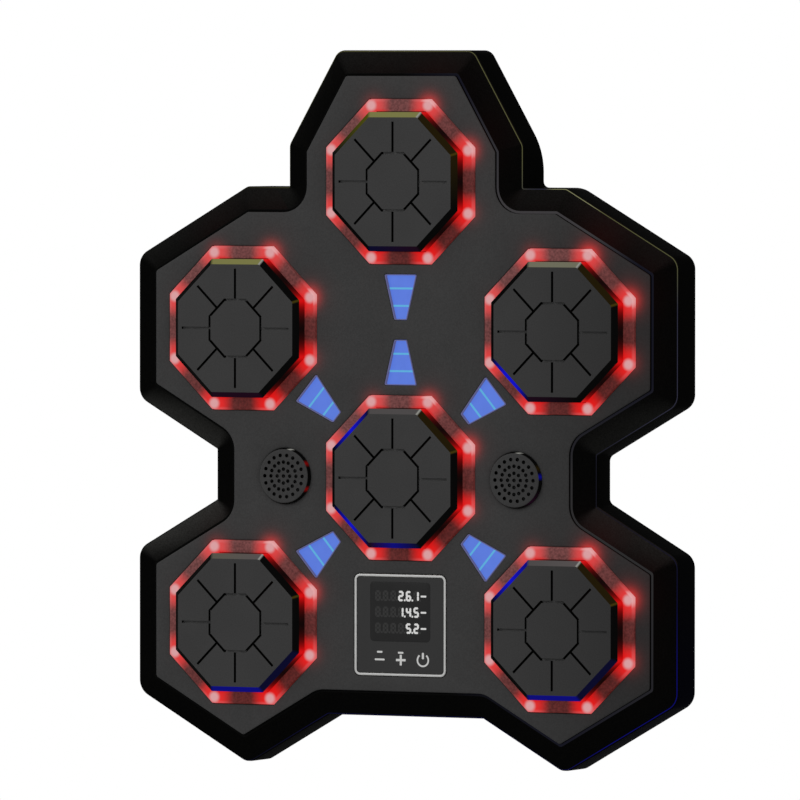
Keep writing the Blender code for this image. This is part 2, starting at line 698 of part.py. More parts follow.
def back_cover():
    """Make the flat back with its guide tubes, ribs, pillars, standoffs and keyholes."""
    loops = [outline(SHELL_WALL + GAP, COVER_THICK, WALL_GAP)]
    obj = as_mesh(flat_piece("back_cover", loops, 0.0, COVER_THICK, BLACK), flat=True)
    outer = SPRING_RADIUS + SPRING_WIRE / 2 + TUBE_MARGIN
    low, high = COVER_THICK - GAP, COVER_THICK + TUBE_HEIGHT
    tubes = []
    for centre in TARGETS.values():
        profile = [(TUBE_INNER, high), (outer, high), (outer, low), (TUBE_INNER, low)]
        tube = turned("tube", profile, TUBE_STEPS, centre, None, closed=True, collection=CUTTERS)
        tubes.append(as_mesh(tube))
    combine(obj, joined("guide_tubes", tubes), "UNION")
    combine(obj, cover_ribs(), "UNION")
    pillar_top = BOARD_DEPTH - BOARD_THICK - GAP
    combine(obj, pins("pillars", PILLAR_RADIUS, pillar_places(), low, pillar_top, LEAST_STEPS), "UNION")
    half_x, half_z = MAIN_BOARD[0] / 2 - STANDOFF_MARGIN, MAIN_BOARD[1] / 2 - STANDOFF_MARGIN
    standoffs = [(sx * half_x, MAIN_BOARD_Z + sz * half_z) for sx in (-1, 1) for sz in (-1, 1)]
    standoffs.append((0.0, usb_board_z()))
    board_back = MAIN_BOARD_DEPTH - GAP
    combine(obj, pins("standoffs", PILLAR_RADIUS, standoffs, low, board_back, LEAST_STEPS), "UNION")
    holes = pins("screw_holes", SCREW_RADIUS + GAP, post_places(), -GAP, COVER_THICK + GAP)
    combine(obj, holes, "DIFFERENCE")
    heads = pins("screw_heads", SCREW_HEAD_RADIUS + GAP, post_places(), -GAP, SCREW_HEAD_SINK)
    combine(obj, heads, "DIFFERENCE")
    for x in (-KEYHOLE_X, KEYHOLE_X):
        hole = flat_piece("keyhole", [keyhole_outline(x)], -GAP, COVER_THICK + GAP, None, CUTTERS)
        combine(obj, as_mesh(hole, flat=True), "DIFFERENCE")
    return obj


def case_screws():
    """Make the cover's screws, each with its head sunk in the cover and its shank in a post."""
    head_back = SCREW_HEAD_SINK - SCREW_HEAD_HEIGHT - GAP
    head_front = SCREW_HEAD_SINK - GAP
    tip = head_front + SCREW_LENGTH
    profile = [(0.0, tip), (SCREW_RADIUS, tip - SCREW_RADIUS), (SCREW_RADIUS, head_front),
               (SCREW_HEAD_RADIUS, head_front), (SCREW_HEAD_RADIUS, head_back), (0.0, head_back)]
    first = smooth(as_mesh(turned("screw", profile, SMALL_STEPS, (0.0, 0.0), None)))
    first.data.materials.append(STEEL)
    names = ["case_screw_%d" % (i + 1) for i in range(len(post_places()))]
    return copies(first, post_places(), names)


# Targets

def target_caps():
    """Make the hollow target caps, with a chamfered face, a stop flange, a stem and a grooved face."""
    inner = CAP_SKIRT_HALF - CAP_WALL
    under = CAP_DEPTH - CAP_FACE_THICK
    flange_front = RING_BACK_DEPTH - GAP
    flange_back = flange_front - CAP_FLANGE_THICK
    flange = CAP_SKIRT_HALF + CAP_FLANGE
    collar_in = SPRING_RADIUS + SPRING_WIRE / 2 + COLLAR_SIDE_GAP
    collar_out = collar_in + COLLAR_WALL
    collar_end = under - COLLAR_LENGTH
    profile = [
        (0.0, CAP_DEPTH), (CAP_FACE_HALF, CAP_DEPTH), (CAP_SKIRT_HALF, CAP_DEPTH - CAP_CHAMFER),
        (CAP_SKIRT_HALF, flange_front), (flange, flange_front), (flange, flange_back), (inner, flange_back),
        (inner, under - CAP_CHAMFER / 2), (inner - CAP_CHAMFER / 2, under),
        (collar_out, under), (collar_out, collar_end), (collar_in, collar_end), (collar_in, under),
        (STEM_HALF, under), (STEM_HALF, STEM_END_DEPTH), (0.0, STEM_END_DEPTH),
    ]
    cap = octagonal("cap", profile, MATT_GREY)
    half = GROOVE_WIDTH / 2
    bottom, above = CAP_DEPTH - GROOVE_DEEP, CAP_DEPTH + GROOVE_DEEP
    ring = [(GROOVE_RING_HALF - half, above), (GROOVE_RING_HALF + half, above),
            (GROOVE_RING_HALF + half, bottom), (GROOVE_RING_HALF - half, bottom)]
    combine(cap, octagonal("ring_groove", ring, None, True, CUTTERS), "DIFFERENCE")
    bars = []
    length = CAP_FACE_HALF - GROOVE_END_MARGIN - GROOVE_RING_HALF
    middle = GROOVE_RING_HALF + length / 2
    for i in range(OCTAGON):
        angle = 2 * math.pi * i / OCTAGON
        centre = (middle * math.cos(angle), middle * math.sin(angle))
        bars.append(block("bar", (length, GROOVE_WIDTH, 2 * GROOVE_DEEP), centre, bottom, turn=angle))
    combine(cap, joined("radial_grooves", bars), "DIFFERENCE")
    return copies(as_mesh(cap), TARGETS.values(), ["target_cap_" + name for name in TARGETS])


def light_rings():
    """Make the octagonal light guides, each with a skirt behind the plate that carries its board."""
    skirt = RING_OUTER_HALF + RING_SKIRT
    skirt_in = skirt - RING_SKIRT_WALL
    profile = [
        (RING_INNER_HALF, RING_DEPTH), (RING_OUTER_HALF, RING_DEPTH), (RING_OUTER_HALF, BEHIND_PLATE),
        (skirt, BEHIND_PLATE), (skirt, RING_SKIRT_DEPTH), (skirt_in, RING_SKIRT_DEPTH),
        (skirt_in, RING_BACK_DEPTH), (RING_INNER_HALF, RING_BACK_DEPTH),
    ]
    ring = as_mesh(octagonal("ring", profile, RED_LIGHT, closed=True))
    return copies(ring, TARGETS.values(), ["light_ring_" + name for name in TARGETS])


def light_boards():
    """Make the octagonal boards behind the rings, with a light at each corner."""
    outer = RING_OUTER_HALF + RING_SKIRT
    inner = CAP_SKIRT_HALF + CAP_FLANGE + BOARD_HOLE_GAP
    back = BOARD_DEPTH - BOARD_THICK
    profile = [(inner, BOARD_DEPTH), (outer, BOARD_DEPTH), (outer, back), (inner, back)]
    board = octagonal("board", profile, GREEN_BOARD, closed=True)
    reach = inner / HALF_SIDE + LED_SIZE / 2 + LED_EDGE_GAP
    lights = []
    for i in range(OCTAGON):
        angle = 2 * math.pi * (i + 0.5) / OCTAGON
        centre = (reach * math.cos(angle), reach * math.sin(angle))
        size = (LED_SIZE, LED_SIZE, LED_HEIGHT + LED_SINK)
        lights.append(block("light", size, centre, BOARD_DEPTH - LED_SINK, turn=angle))
    combine(board, joined("lights", lights), "UNION")
    return copies(as_mesh(board), TARGETS.values(), ["light_board_" + name for name in TARGETS])


def spring_points():
    """List the points of a compression spring along +z, with a closed turn at each end."""
    low = SEAT_DEPTH + TUBE_HEIGHT + SPRING_WIRE / 2
    high = CAP_DEPTH - CAP_FACE_THICK - GAP - SPRING_WIRE / 2
    closed = SPRING_WIRE + 2 * GAP
    total = SPRING_TURNS + 2
    points = []
    for i in range(total * SPRING_POINTS + 1):
        turn = i / SPRING_POINTS
        if turn <= 1:
            depth = low + closed * turn
        elif turn >= total - 1:
            depth = high - closed * (total - turn)
        else:
            depth = low + closed + (high - low - 2 * closed) * (turn - 1) / SPRING_TURNS
        angle = 2 * math.pi * turn
        points.append(Vector((SPRING_RADIUS * math.cos(angle), SPRING_RADIUS * math.sin(angle), depth)))
    return points


def least_gap(points):
    """Measure the least gap between the wire's turns."""
    far = SPRING_POINTS // 2
    pairs = ((a, b) for i, a in enumerate(points) for b in points[i + far:])
    return min((a - b).length for a, b in pairs) - SPRING_WIRE


def return_springs():
    """Make the compression springs that push the targets forward."""
    points = spring_points()
    print("return spring: least gap between turns %.2f mm" % (least_gap(points) * 1000))
    curve = bpy.data.curves.new("spring", "CURVE")
    curve.dimensions = "3D"
    curve.bevel_depth = SPRING_WIRE / 2
    curve.bevel_resolution = 1
    curve.use_fill_caps = True
    curve.resolution_u = 1
    spline = curve.splines.new("POLY")
    spline.points.add(len(points) - 1)
    for point, place in zip(spline.points, points):
        point.co = (*place, 1.0)
    obj = bpy.data.objects.new("spring", curve)
    obj.matrix_world = FORWARD
    bpy.context.scene.collection.objects.link(obj)
    put(obj, STEEL)
    spring = smooth(as_mesh(obj), 80)
    spring.data.materials.append(STEEL)
    return copies(spring, TARGETS.values(), ["return_spring_" + name for name in TARGETS])


def strike_switches():
    """Make the switches that the stems reach at the end of their travel."""
    body = block("switch", (SWITCH_SIZE, SWITCH_SIZE, SWITCH_HEIGHT), (0.0, 0.0), SEAT_DEPTH, BLACK)
    plunger = pins("plunger", PLUNGER_RADIUS, [(0.0, 0.0)], SEAT_DEPTH + SWITCH_HEIGHT - GAP,
                   SEAT_DEPTH + 2 * SWITCH_HEIGHT)
    combine(body, plunger, "UNION")
    return copies(as_mesh(body), TARGETS.values(), ["strike_switch_" + name for name in TARGETS])


# Windows, speakers and control panel

def light_windows():
    """Make the blue lenses behind the plate's windows, each crossed by two ribs."""
    front = BEHIND_PLATE
    made = []
    flare = (WINDOW_WIDE - WINDOW_NARROW) / WINDOW_LENGTH
    for name, (place, angle) in window_places().items():
        loop = turned_outline(window_outline(WINDOW_BORDER), place, angle)
        lens = flat_piece("light_window_" + name, [loop], front - WINDOW_LENS_THICK, front, BLUE_LIGHT)
        lens = as_mesh(lens, flat=True)
        ribs = []
        for along in (WINDOW_RIB_MARGIN, WINDOW_LENGTH - WINDOW_RIB_MARGIN):
            centre = Matrix.Rotation(angle, 2) @ Vector((0.0, along)) + place
            width = WINDOW_NARROW + flare * along - 4 * GAP
            size = (width, WINDOW_RIB_WIDTH, WINDOW_RIB_PROUD + GAP)
            ribs.append(block("rib", size, centre, front - GAP, turn=angle))
        made.append(combine(lens, joined("ribs_" + name, ribs), "UNION"))
    return made


def speaker_grilles():
    """Make the raised round grilles with their rings of holes."""
    face = PLATE_DEPTH + GRILLE_PROUD
    inner = GRILLE_RADIUS - GRILLE_WALL
    flange = GRILLE_RADIUS + GRILLE_FLANGE
    back = BEHIND_PLATE - GRILLE_FLANGE_THICK
    profile = [
        (0.0, face), (GRILLE_RADIUS - GRILLE_ROUND, face), (GRILLE_RADIUS, face - GRILLE_ROUND),
        (GRILLE_RADIUS, BEHIND_PLATE), (flange, BEHIND_PLATE), (flange, back),
        (inner, back), (inner, face - GRILLE_FACE), (0.0, face - GRILLE_FACE),
    ]
    grille = turned("grille", profile, ROUND_STEPS, (0.0, 0.0), MATT_GREY)
    holes = []
    for radius, count in GRILLE_CIRCLES:
        for i in range(count):
            angle = 2 * math.pi * i / count
            holes.append((radius * math.cos(angle), radius * math.sin(angle)))
    low, high = face - 2 * GRILLE_FACE, face + GRILLE_FACE
    combine(grille, pins("grille_holes", GRILLE_HOLE, holes, low, high, LEAST_STEPS), "DIFFERENCE")
    places = [(-SPEAKER_X, 0.0), (SPEAKER_X, 0.0)]
    return copies(as_mesh(grille), places, ["speaker_grille_left", "speaker_grille_right"])


def speaker_drivers():
    """Make the small drivers behind the grilles: rim, cone, basket and magnet."""
    front = BEHIND_PLATE - GRILLE_FLANGE_THICK - GAP
    back = front - DRIVER_DEEP
    basket = back + MAGNET_DEEP
    roll = DRIVER_RADIUS - RIM_WIDTH
    profile = [
        (0.0, front - DOME_SINK), (DOME_RADIUS, front - CONE_SINK), (roll - ROLL_WIDTH, front - ROLL_SINK),
        (roll, front), (DRIVER_RADIUS, front), (DRIVER_RADIUS, front - RIM_THICK),
        (MAGNET_RADIUS + BASKET_FLARE, basket), (MAGNET_RADIUS, basket), (MAGNET_RADIUS, back), (0.0, back),
    ]
    driver = as_mesh(turned("driver", profile, DRIVER_STEPS, (0.0, 0.0), BLACK))
    places = [(-SPEAKER_X, 0.0), (SPEAKER_X, 0.0)]
    return copies(smooth(driver), places, ["speaker_driver_left", "speaker_driver_right"])


def control_panel():
    """Make the silver frame, the key film, the display's lens and module, and the key board."""
    base = BEHIND_PLATE + 2 * GAP
    centre = (0.0, PANEL_Z)
    inner = PANEL_SIZE - 2 * PANEL_LINE
    frame = [rounded_rectangle(PANEL_SIZE, PANEL_SIZE, PANEL_CORNER, centre),
             rounded_rectangle(inner, inner, PANEL_CORNER - PANEL_LINE, centre)]
    flat_piece("panel_frame", frame, base, PLATE_DEPTH + PANEL_PROUD, SILVER)
    film = inner - 2 * GAP
    hole = (DISPLAY_WIDTH, DISPLAY_HEIGHT)
    spot = (0.0, DISPLAY_Z)
    loops = [rounded_rectangle(film, film, PANEL_CORNER - PANEL_LINE - GAP, centre),
             rounded_rectangle(*hole, DISPLAY_CORNER, spot)]
    flat_piece("key_film", loops, base, PLATE_DEPTH - GAP, PANEL_FILM)
    lens = rounded_rectangle(hole[0] - 2 * GAP, hole[1] - 2 * GAP, DISPLAY_CORNER - GAP, spot)
    flat_piece("display_lens", [lens], base, PLATE_DEPTH - GAP, SMOKED)
    board = PANEL_SIZE + 2 * KEY_BOARD_BORDER
    module = (hole[0] - 2 * MODULE_MARGIN, hole[1] - 2 * MODULE_MARGIN)
    loops = [rounded_rectangle(board, board, PANEL_CORNER, centre),
             rectangle(module[0] + 2 * GAP, module[1] + 2 * GAP, spot)]
    flat_piece("key_board", loops, BEHIND_PLATE - BOARD_THICK, BEHIND_PLATE, GREEN_BOARD)
    size = (*module, DISPLAY_DEEP)
    block("display_module", size, spot, BEHIND_PLATE + GAP - DISPLAY_DEEP, BLACK)


# Electronics

def main_board():
    """Make the main board with its chip and two connectors."""
    width, height, thick = MAIN_BOARD
    centre = (0.0, MAIN_BOARD_Z)
    board = block("main_board", (width, height, thick), centre, MAIN_BOARD_DEPTH, GREEN_BOARD)
    front = MAIN_BOARD_DEPTH + thick - GAP
    parts = []
    for (wide, high, tall), (x, z) in [CHIP] + PLUGS:
        parts.append(block("board_part", (wide, high, tall + GAP), (x, MAIN_BOARD_Z + z), front))
    return combine(board, joined("board_parts", parts), "UNION")


def battery():
    """Make the flat rechargeable cell between its rails."""
    obj = block("battery", BATTERY, (0.0, BATTERY_Z), SEAT_DEPTH, CELL_WRAP)
    edges = obj.modifiers.new("edges", "BEVEL")
    edges.width = BATTERY_EDGE
    edges.segments = 1
    return obj


def usb_board_z():
    """Give the height of the charging board's middle."""
    return -CHIN_Z + SHELL_WALL + GAP + USB_BOARD[1] / 2


def usb_socket():
    """Make the charging socket, open at the bottom edge, on its small board."""
    low = -CHIN_Z + 2 * GAP
    outer = rounded_rectangle(USB_WIDTH, USB_HEIGHT, USB_HEIGHT / 2 - GAP, (0.0, 0.0))
    inner = rounded_rectangle(USB_WIDTH - 2 * USB_WALL, USB_HEIGHT - 2 * USB_WALL,
                              USB_HEIGHT / 2 - USB_WALL - GAP, (0.0, 0.0))
    shell = along_z("usb_socket", outer, USB_DEPTH, low, low + USB_LENGTH, STEEL, MACHINE)
    combine(shell, along_z("usb_pocket", inner, USB_DEPTH, low - USB_WALL, low + USB_POCKET), "DIFFERENCE")
    thick = USB_DEPTH - USB_HEIGHT / 2 - MAIN_BOARD_DEPTH + USB_WALL / 2
    board = block("usb_board", (USB_BOARD[0], USB_BOARD[1], thick), (0.0, usb_board_z()), MAIN_BOARD_DEPTH)
    return combine(shell, joined("usb_board", [board]), "UNION")


surround_shell()
front_plate()
back_cover()
case_screws()
target_caps()
light_rings()
light_boards()
return_springs()
strike_switches()
light_windows()
speaker_grilles()
speaker_drivers()
control_panel()
main_board()
battery()
usb_socket()
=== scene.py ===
"""Finished looks of a wall-hung boxing punch machine, built round its construction model.

The wall is the plane y = 0, the machine's front looks along -y and +z is up. Sizes are in metres, and a
depth is a distance forward of the wall.
"""

import math

import bmesh
import bpy
from bpy.props import FloatProperty, FloatVectorProperty, IntProperty, PointerProperty
from bpy.types import Operator, Panel, PropertyGroup
from mathutils import Matrix, Vector


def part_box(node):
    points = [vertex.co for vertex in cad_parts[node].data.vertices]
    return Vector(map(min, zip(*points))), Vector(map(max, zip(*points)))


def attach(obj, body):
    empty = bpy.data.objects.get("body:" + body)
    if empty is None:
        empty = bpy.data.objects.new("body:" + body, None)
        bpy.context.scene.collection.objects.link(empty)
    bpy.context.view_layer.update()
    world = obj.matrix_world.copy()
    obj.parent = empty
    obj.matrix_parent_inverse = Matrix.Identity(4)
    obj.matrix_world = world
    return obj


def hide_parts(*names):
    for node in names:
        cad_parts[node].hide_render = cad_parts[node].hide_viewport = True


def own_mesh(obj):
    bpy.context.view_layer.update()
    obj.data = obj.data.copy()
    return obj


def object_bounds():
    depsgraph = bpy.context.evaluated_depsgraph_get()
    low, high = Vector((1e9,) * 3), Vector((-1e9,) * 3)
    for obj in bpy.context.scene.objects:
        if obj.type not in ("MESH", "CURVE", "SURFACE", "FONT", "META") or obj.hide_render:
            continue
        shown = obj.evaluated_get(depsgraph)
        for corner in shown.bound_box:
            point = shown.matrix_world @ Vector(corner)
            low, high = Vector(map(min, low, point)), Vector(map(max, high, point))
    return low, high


bl_info = {
    "name": "Boxing punch machine",
    "version": (1, 0, 0),
    "blender": (4, 5, 0),
    "location": "View3D > Sidebar > Punch machine",
    "description": "Builds the finished pieces of a wall-hung boxing punch machine",
    "category": "Object",
}

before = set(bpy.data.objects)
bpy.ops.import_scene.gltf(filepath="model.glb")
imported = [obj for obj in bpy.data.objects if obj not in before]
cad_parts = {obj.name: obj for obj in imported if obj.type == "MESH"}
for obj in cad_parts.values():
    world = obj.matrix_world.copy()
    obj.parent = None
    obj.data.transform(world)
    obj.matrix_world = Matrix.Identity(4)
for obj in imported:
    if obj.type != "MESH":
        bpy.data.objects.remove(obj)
CAD_BOX = [list(corner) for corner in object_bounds()]


# Places and sizes that follow the construction model

TARGET_NAMES = ("top", "middle", "upper_left", "upper_right", "lower_left", "lower_right")
WINDOW_NAMES = ("top_upper", "top_lower", "upper_left", "upper_right", "lower_left", "lower_right")
SIDES = ("left", "right")
OCTAGON = 8


def centre_of(node):
    """Give a node's middle across its front."""
    low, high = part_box(node)
    return Vector(((low.x + high.x) / 2, (low.z + high.z) / 2))


def front_of(node):
    """Give the depth of a node's front."""
    return -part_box(node)[0].y


def back_of(node):
    """Give the depth of a node's back."""
    return -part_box(node)[1].y


def half_of(node):
    """Give half a node's width."""
    low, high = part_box(node)
    return (high.x - low.x) / 2


TARGETS = {name: centre_of("light_ring_" + name) for name in TARGET_NAMES}
COLUMN_X, ROW_Z = TARGETS["upper_right"]
TOP_Z = TARGETS["top"].y
GAP = 0.0003                             # between pieces that don't touch
PLATE_DEPTH = front_of("front_plate")
PLATE_BACK = back_of("front_plate")
LENS_DEPTH = PLATE_BACK - GAP
RING_DEPTH = front_of("light_ring_middle")
RING_SEAT = PLATE_DEPTH - 0.0038         # back of a light ring inside its skirt
SKIRT_DEPTH = back_of("light_ring_middle")
CAP_DEPTH = front_of("target_cap_middle")
STEM_DEPTH = back_of("target_cap_middle")
COIL_BACK = back_of("return_spring_middle")
COIL_FRONT = front_of("return_spring_middle")

# Outline of the housing, as in the construction model
RING_SKIRT = 0.0018
CAP_FLANGE = 0.0020
RING_HALF = half_of("light_ring_middle") - RING_SKIRT        # light ring, half across its flats
SKIRT_HALF = half_of("target_cap_middle") - CAP_FLANGE       # cap's side, half across its flats
BAND_WIDTH = 0.0164
SIDE_APOTHEM = RING_HALF + BAND_WIDTH + 0.01115
TOP_APOTHEM = RING_HALF + BAND_WIDTH + 0.01575
HEAD_HALF_WIDTH = RING_HALF + BAND_WIDTH + 0.01525
SHOULDER_Z = ROW_Z + 0.0933
WAIST_X = COLUMN_X + 0.0234
CHIN_Z = ROW_Z + 0.0597
WAIST_TUCK = 0.0030
HEAD_FLARE = 0.0024
WALL_GAP = 0.0008
LIP_DEPTH = PLATE_DEPTH - 0.0015
EDGE_DEPTH = LIP_DEPTH - 0.0066
EDGE_ROUND = 0.0016
LEAST_CORNER = 0.0025
LEDGE_WIDTH = 0.0022
SHELL_WALL = 0.0020

# Cover, posts and screws
COVER_THICK = 0.0030
POST_INSET = 0.0085
POST_X = 0.0400
POST_RADII = (0.0016, 0.0030)            # inner and outer
GUIDE_RADII = (0.0067, 0.0091)           # inner and outer, of the tubes round the stems
KEYHOLE_X = 0.0600
SCREW_HOLE, SCREW_RECESS, RECESS_DEPTH = 0.0016, 0.0030, 0.0018
HEAD_RADIUS, HEAD_HEIGHT, SHANK_RADIUS = 0.0027, 0.0014, 0.0013

# Caps, seen from the axis outwards
STEM_HALF = 0.0042
COLLAR_HALVES = (0.0095, 0.0110)         # the collar that holds the spring, inner and outer
COLLAR_LENGTH = 0.0040
CAP_WALL = 0.0022
CAP_ROOF = 0.0038
CAP_FLANGE_THICK = 0.0018
COIL_RADIUS, WIRE = 0.0079, 0.0012

# Places on the front
WINDOW_WIDE = 0.0236
WINDOW_NARROW = 0.0091
WINDOW_LENGTH = 0.0298
WINDOW_REACH = RING_HALF + 0.00695
WINDOW_BORDER = 0.0020
WINDOW_BAR_MARGIN = 0.0092
PANEL = centre_of("panel_frame")
PANEL_HALF = half_of("panel_frame")
PANEL_CORNER = 0.0040
SILVER_WIDTH = 0.0016
DISPLAY = centre_of("display_lens")
FILM_DEPTH = front_of("key_film")
PRINT_HEIGHT = 0.00004
GRILLE_FLANGE = 0.0025
GRILLE_DEPTH = front_of("speaker_grille_left")
GRILLE_RADIUS = half_of("speaker_grille_left") - GRILLE_FLANGE
HOLE_CIRCLES = ((0.0, 1), (0.0046, 8), (0.0092, 16), (0.01375, 18))      # radius, number of holes
HOLE_RADIUS, DRILL_LENGTH = 0.00125, 0.0060

# Camera and picture
PICTURE_SIZE = 800                       # pixels
FOCAL_PIXELS = 11097.5
SENSOR = 36.0                            # millimetres
CAMERA_TARGET = Vector((0.00047, -0.0360, 0.05116))
CAMERA_DISTANCE = 7.261
CAMERA_AZIMUTH = math.radians(26.117)
CAMERA_ELEVATION = math.radians(1.744)
CAMERA_ROLL = math.radians(0.028)

# Surroundings
SKY_STRENGTH = 0.62
FLOOR_Z = -2.6
FLOOR_RADIUS = 6.0
LAMP_SIZE = 2.4
LAMPS = {"key_light": ((-2.2, -3.4, 2.4), 90.0), "fill_light": ((3.0, -3.0, 0.6), 28.0)}     # place, power
LAMP_TARGET = Vector((0.0, -0.03, 0.05))


# Node trees written as calls and expressions

class Value:
    """An output socket, on which arithmetic adds Math nodes."""

    def __init__(self, graph, socket):
        self.graph, self.socket = graph, socket

    def out(self, name):
        """Give another output of the same node."""
        return Value(self.graph, self.socket.node.outputs[name])

    def math(self, operation, *others):
        """Add a Math node whose first input is this value."""
        return self.graph.add("ShaderNodeMath", {"operation": operation}, dict(enumerate((self, *others))))

    def __add__(self, other):
        return self.math("ADD", other)

    def __sub__(self, other):
        return self.math("SUBTRACT", other)

    def __mul__(self, other):
        return self.math("MULTIPLY", other)

    def __truediv__(self, other):
        return self.math("DIVIDE", other)

    def __pow__(self, other):
        return self.math("POWER", other)

    def __lt__(self, other):
        return self.math("LESS_THAN", other)

    def __gt__(self, other):
        return self.math("GREATER_THAN", other)

    def __neg__(self):
        return self * -1.0

    def __abs__(self):
        return self.math("ABSOLUTE")

    def __rsub__(self, other):
        return -self + other

    __radd__ = __add__
    __rmul__ = __mul__

    def clamp(self):
        """Keep the value between 0 and 1."""
        return self.math("MINIMUM", 1.0).math("MAXIMUM", 0.0)
    def ramp(self, start, end):
        """Rise smoothly from 0 at the start to 1 at the end; the end may be the lower value."""
        share = ((self - start) / (end - start)).clamp()
        return share * share * (3.0 - 2.0 * share)

    def fade(self, reach):
        """Fall from 1 at zero, to about a third of itself over each reach."""
        return (self / -reach).math("EXPONENT")


class Graph:
    """A node tree to which nodes are added by one method."""

    def __init__(self, tree):
        self.tree = tree

    def add(self, kind, settings=None, sockets=None):
        """Add a node by its type, then its settings, then the values or links of its sockets."""
        node = self.tree.nodes.new(kind)
        for name, value in (settings or {}).items():
            if name == "stops":
                for stop, (place, colour) in zip(self.stops(node, len(value)), value):
                    stop.position, stop.color = place, (*colour, 1.0)
            else:
                setattr(node, name, value)
        for key, value in (sockets or {}).items():
            for single in value if isinstance(value, list) else [value]:
                if isinstance(single, Value):
                    self.tree.links.new(single.socket, node.inputs[key])
                else:
                    node.inputs[key].default_value = single
        outputs = [socket for socket in node.outputs if socket.enabled]
        return Value(self, outputs[0]) if outputs else None

    @staticmethod
    def stops(node, count):
        """Give a ramp the right number of stops."""
        stops = node.color_ramp.elements
        while len(stops) < count:
            stops.new(1.0)
        return stops

    def axes(self, vector):
        """Split a vector into x, y and z."""
        split = self.add("ShaderNodeSeparateXYZ", None, {"Vector": vector})
        return [split.out(axis) for axis in "XYZ"]


class Finish(Graph):
    """A material: one Principled shader and what feeds it."""

    def __init__(self, name, **plain):
        self.material = bpy.data.materials.new(name)
        self.material.use_nodes = True
        super().__init__(self.material.node_tree)
        self.shader = self.tree.nodes["Principled BSDF"]
        for key, value in plain.items():
            self.shader.inputs[key.replace("_", " ").title().replace("Ior", "IOR")].default_value = value

    def feed(self, **links):
        """Link values to the shader's sockets."""
        for key, value in links.items():
            self.tree.links.new(value.socket, self.shader.inputs[key.replace("_", " ").title()])
        return self

    def place(self):
        """Give the object coordinates."""
        return self.add("ShaderNodeTexCoord").out("Object")

    def noise(self, size, detail=2.0, stretch=(1.0, 1.0, 1.0)):
        """Give noise from 0 to 1 whose spots are about a size across."""
        spread = self.add("ShaderNodeMapping", None, {"Vector": self.place(), "Scale": stretch})
        return self.add("ShaderNodeTexNoise", None, {"Vector": spread, "Scale": 1 / size, "Detail": detail})

    def tint(self, factor, first, second):
        """Mix two colours by a factor."""
        return self.add("ShaderNodeMix", {"data_type": "RGBA"}, {0: factor, 6: first, 7: second})

    def speckled(self, colour, share, low, high):
        """Darken a colour to its low and brighten it to its high by a share."""
        speck = self.tint(share, rgb(WHITE, low), rgb(WHITE, high))
        settings = {"data_type": "RGBA", "blend_type": "MULTIPLY"}
        return self.add("ShaderNodeMix", settings, {0: 1.0, 6: colour, 7: speck})

    def bump(self, height, distance, strength=1.0):
        """Give the normal of a relief whose height runs from 0 to 1 over a distance."""
        sockets = {"Height": height, "Distance": distance, "Strength": strength}
        return self.add("ShaderNodeBump", None, sockets)

    def drift(self, cloud, first, second, smoothest, spread):
        """Let the colour and the roughness drift over a cloud, and give the material."""
        roughness = smoothest + spread * cloud
        self.feed(base_color=self.tint(cloud, rgb(first), rgb(second)), roughness=roughness)
        return self.material


WHITE, DARK = (1.0, 1.0, 1.0), (0.0, 0.0, 0.0)


def rgb(colour, share=1.0):
    """Give a colour with its alpha, brightened or darkened by a share."""
    return (colour[0] * share, colour[1] * share, colour[2] * share, 1.0)


def grey(tone):
    """Give a grey."""
    return (tone, tone, tone)


def shown(red, green, blue):
    """Turn a colour as a screen shows it, from 0 to 255, into a linear colour."""
    shares = [value / 255 for value in (red, green, blue)]
    return tuple(s / 12.92 if s <= 0.04045 else ((s + 0.055) / 1.055) ** 2.4 for s in shares)


# Settings that a user would change

def length(name, description, default):
    """Make a size setting."""
    return FloatProperty(name=name, description=description, default=default, min=0.0, precision=5,
                         unit="LENGTH")


def colour(name, description, default):
    """Make a colour setting."""
    return FloatVectorProperty(name=name, description=description, default=default, subtype="COLOR",
                               min=0.0, max=1.0)


class HousingSettings(PropertyGroup):
    """Sizes of the housing's edges."""

    lip_round: length("Lip rounding", "Rounding of the band's inner edge", 0.0010)
    plate_round: length("Plate rounding", "Rounding of the front plate's edges", 0.0011)
    plate_gap: length("Plate gap", "Gap round the front plate", 0.0003)
    rim_round: length("Rim rounding", "Rounding of the cover's rear edge", 0.0005)
    corner_facets: IntProperty(name="Corner facets", description="Facets of each round corner", default=9,
                               min=2)


class TargetSettings(PropertyGroup):
    """Sizes of the caps and light rings."""

    chamfer: length("Chamfer", "Width of the sloping edge round a cap's face", 0.0034)
    groove_width: length("Groove width", "Width of the grooves in a cap's face", 0.0016)
    groove_depth: length("Groove depth", "Depth of the grooves in a cap's face", 0.0024)
    groove_half: length("Groove ring", "Half the distance across the octagonal groove", 0.01875)
    groove_margin: length("Groove margin", "Radial grooves stop this far inside the face", 0.0028)
    edge_round: length("Edge rounding", "Rounding of a cap's edges", 0.00025)
    ring_width: length("Ring width", "Width of the light ring", 0.0078)
    ring_round: length("Ring rounding", "Rounding of the light ring's outer edge", 0.0007)
    coil_turns: IntProperty(name="Coil turns", description="Turns of each return spring", default=5, min=3)


class ColourSettings(PropertyGroup):
    """Colours of the finishes."""

    matt: colour("Matt grey", "Front plate and caps", (0.0345, 0.0343, 0.0343))
    # On the grooves, the front plate's walls and the grilles' holes this black is painted shade.
    black: colour("Black", "Housing, chamfers and grooves", (0.0016, 0.0016, 0.0015))
    red: colour("Red light", "Light rings near a light", shown(214, 38, 36))
    red_spot: colour("Light spot", "Light rings right over a light", shown(211, 156, 158))
    red_dim: colour("Dim red", "Light rings between two lights", shown(98, 61, 60))
    blue: colour("Blue light", "Light windows", shown(84, 116, 212))
    cyan: colour("Cyan bars", "Bars across the light windows", (0.091, 0.376, 0.645))
    signs: colour("Signs", "Lit digits and key signs", (0.62, 0.62, 0.61))


# Outlines

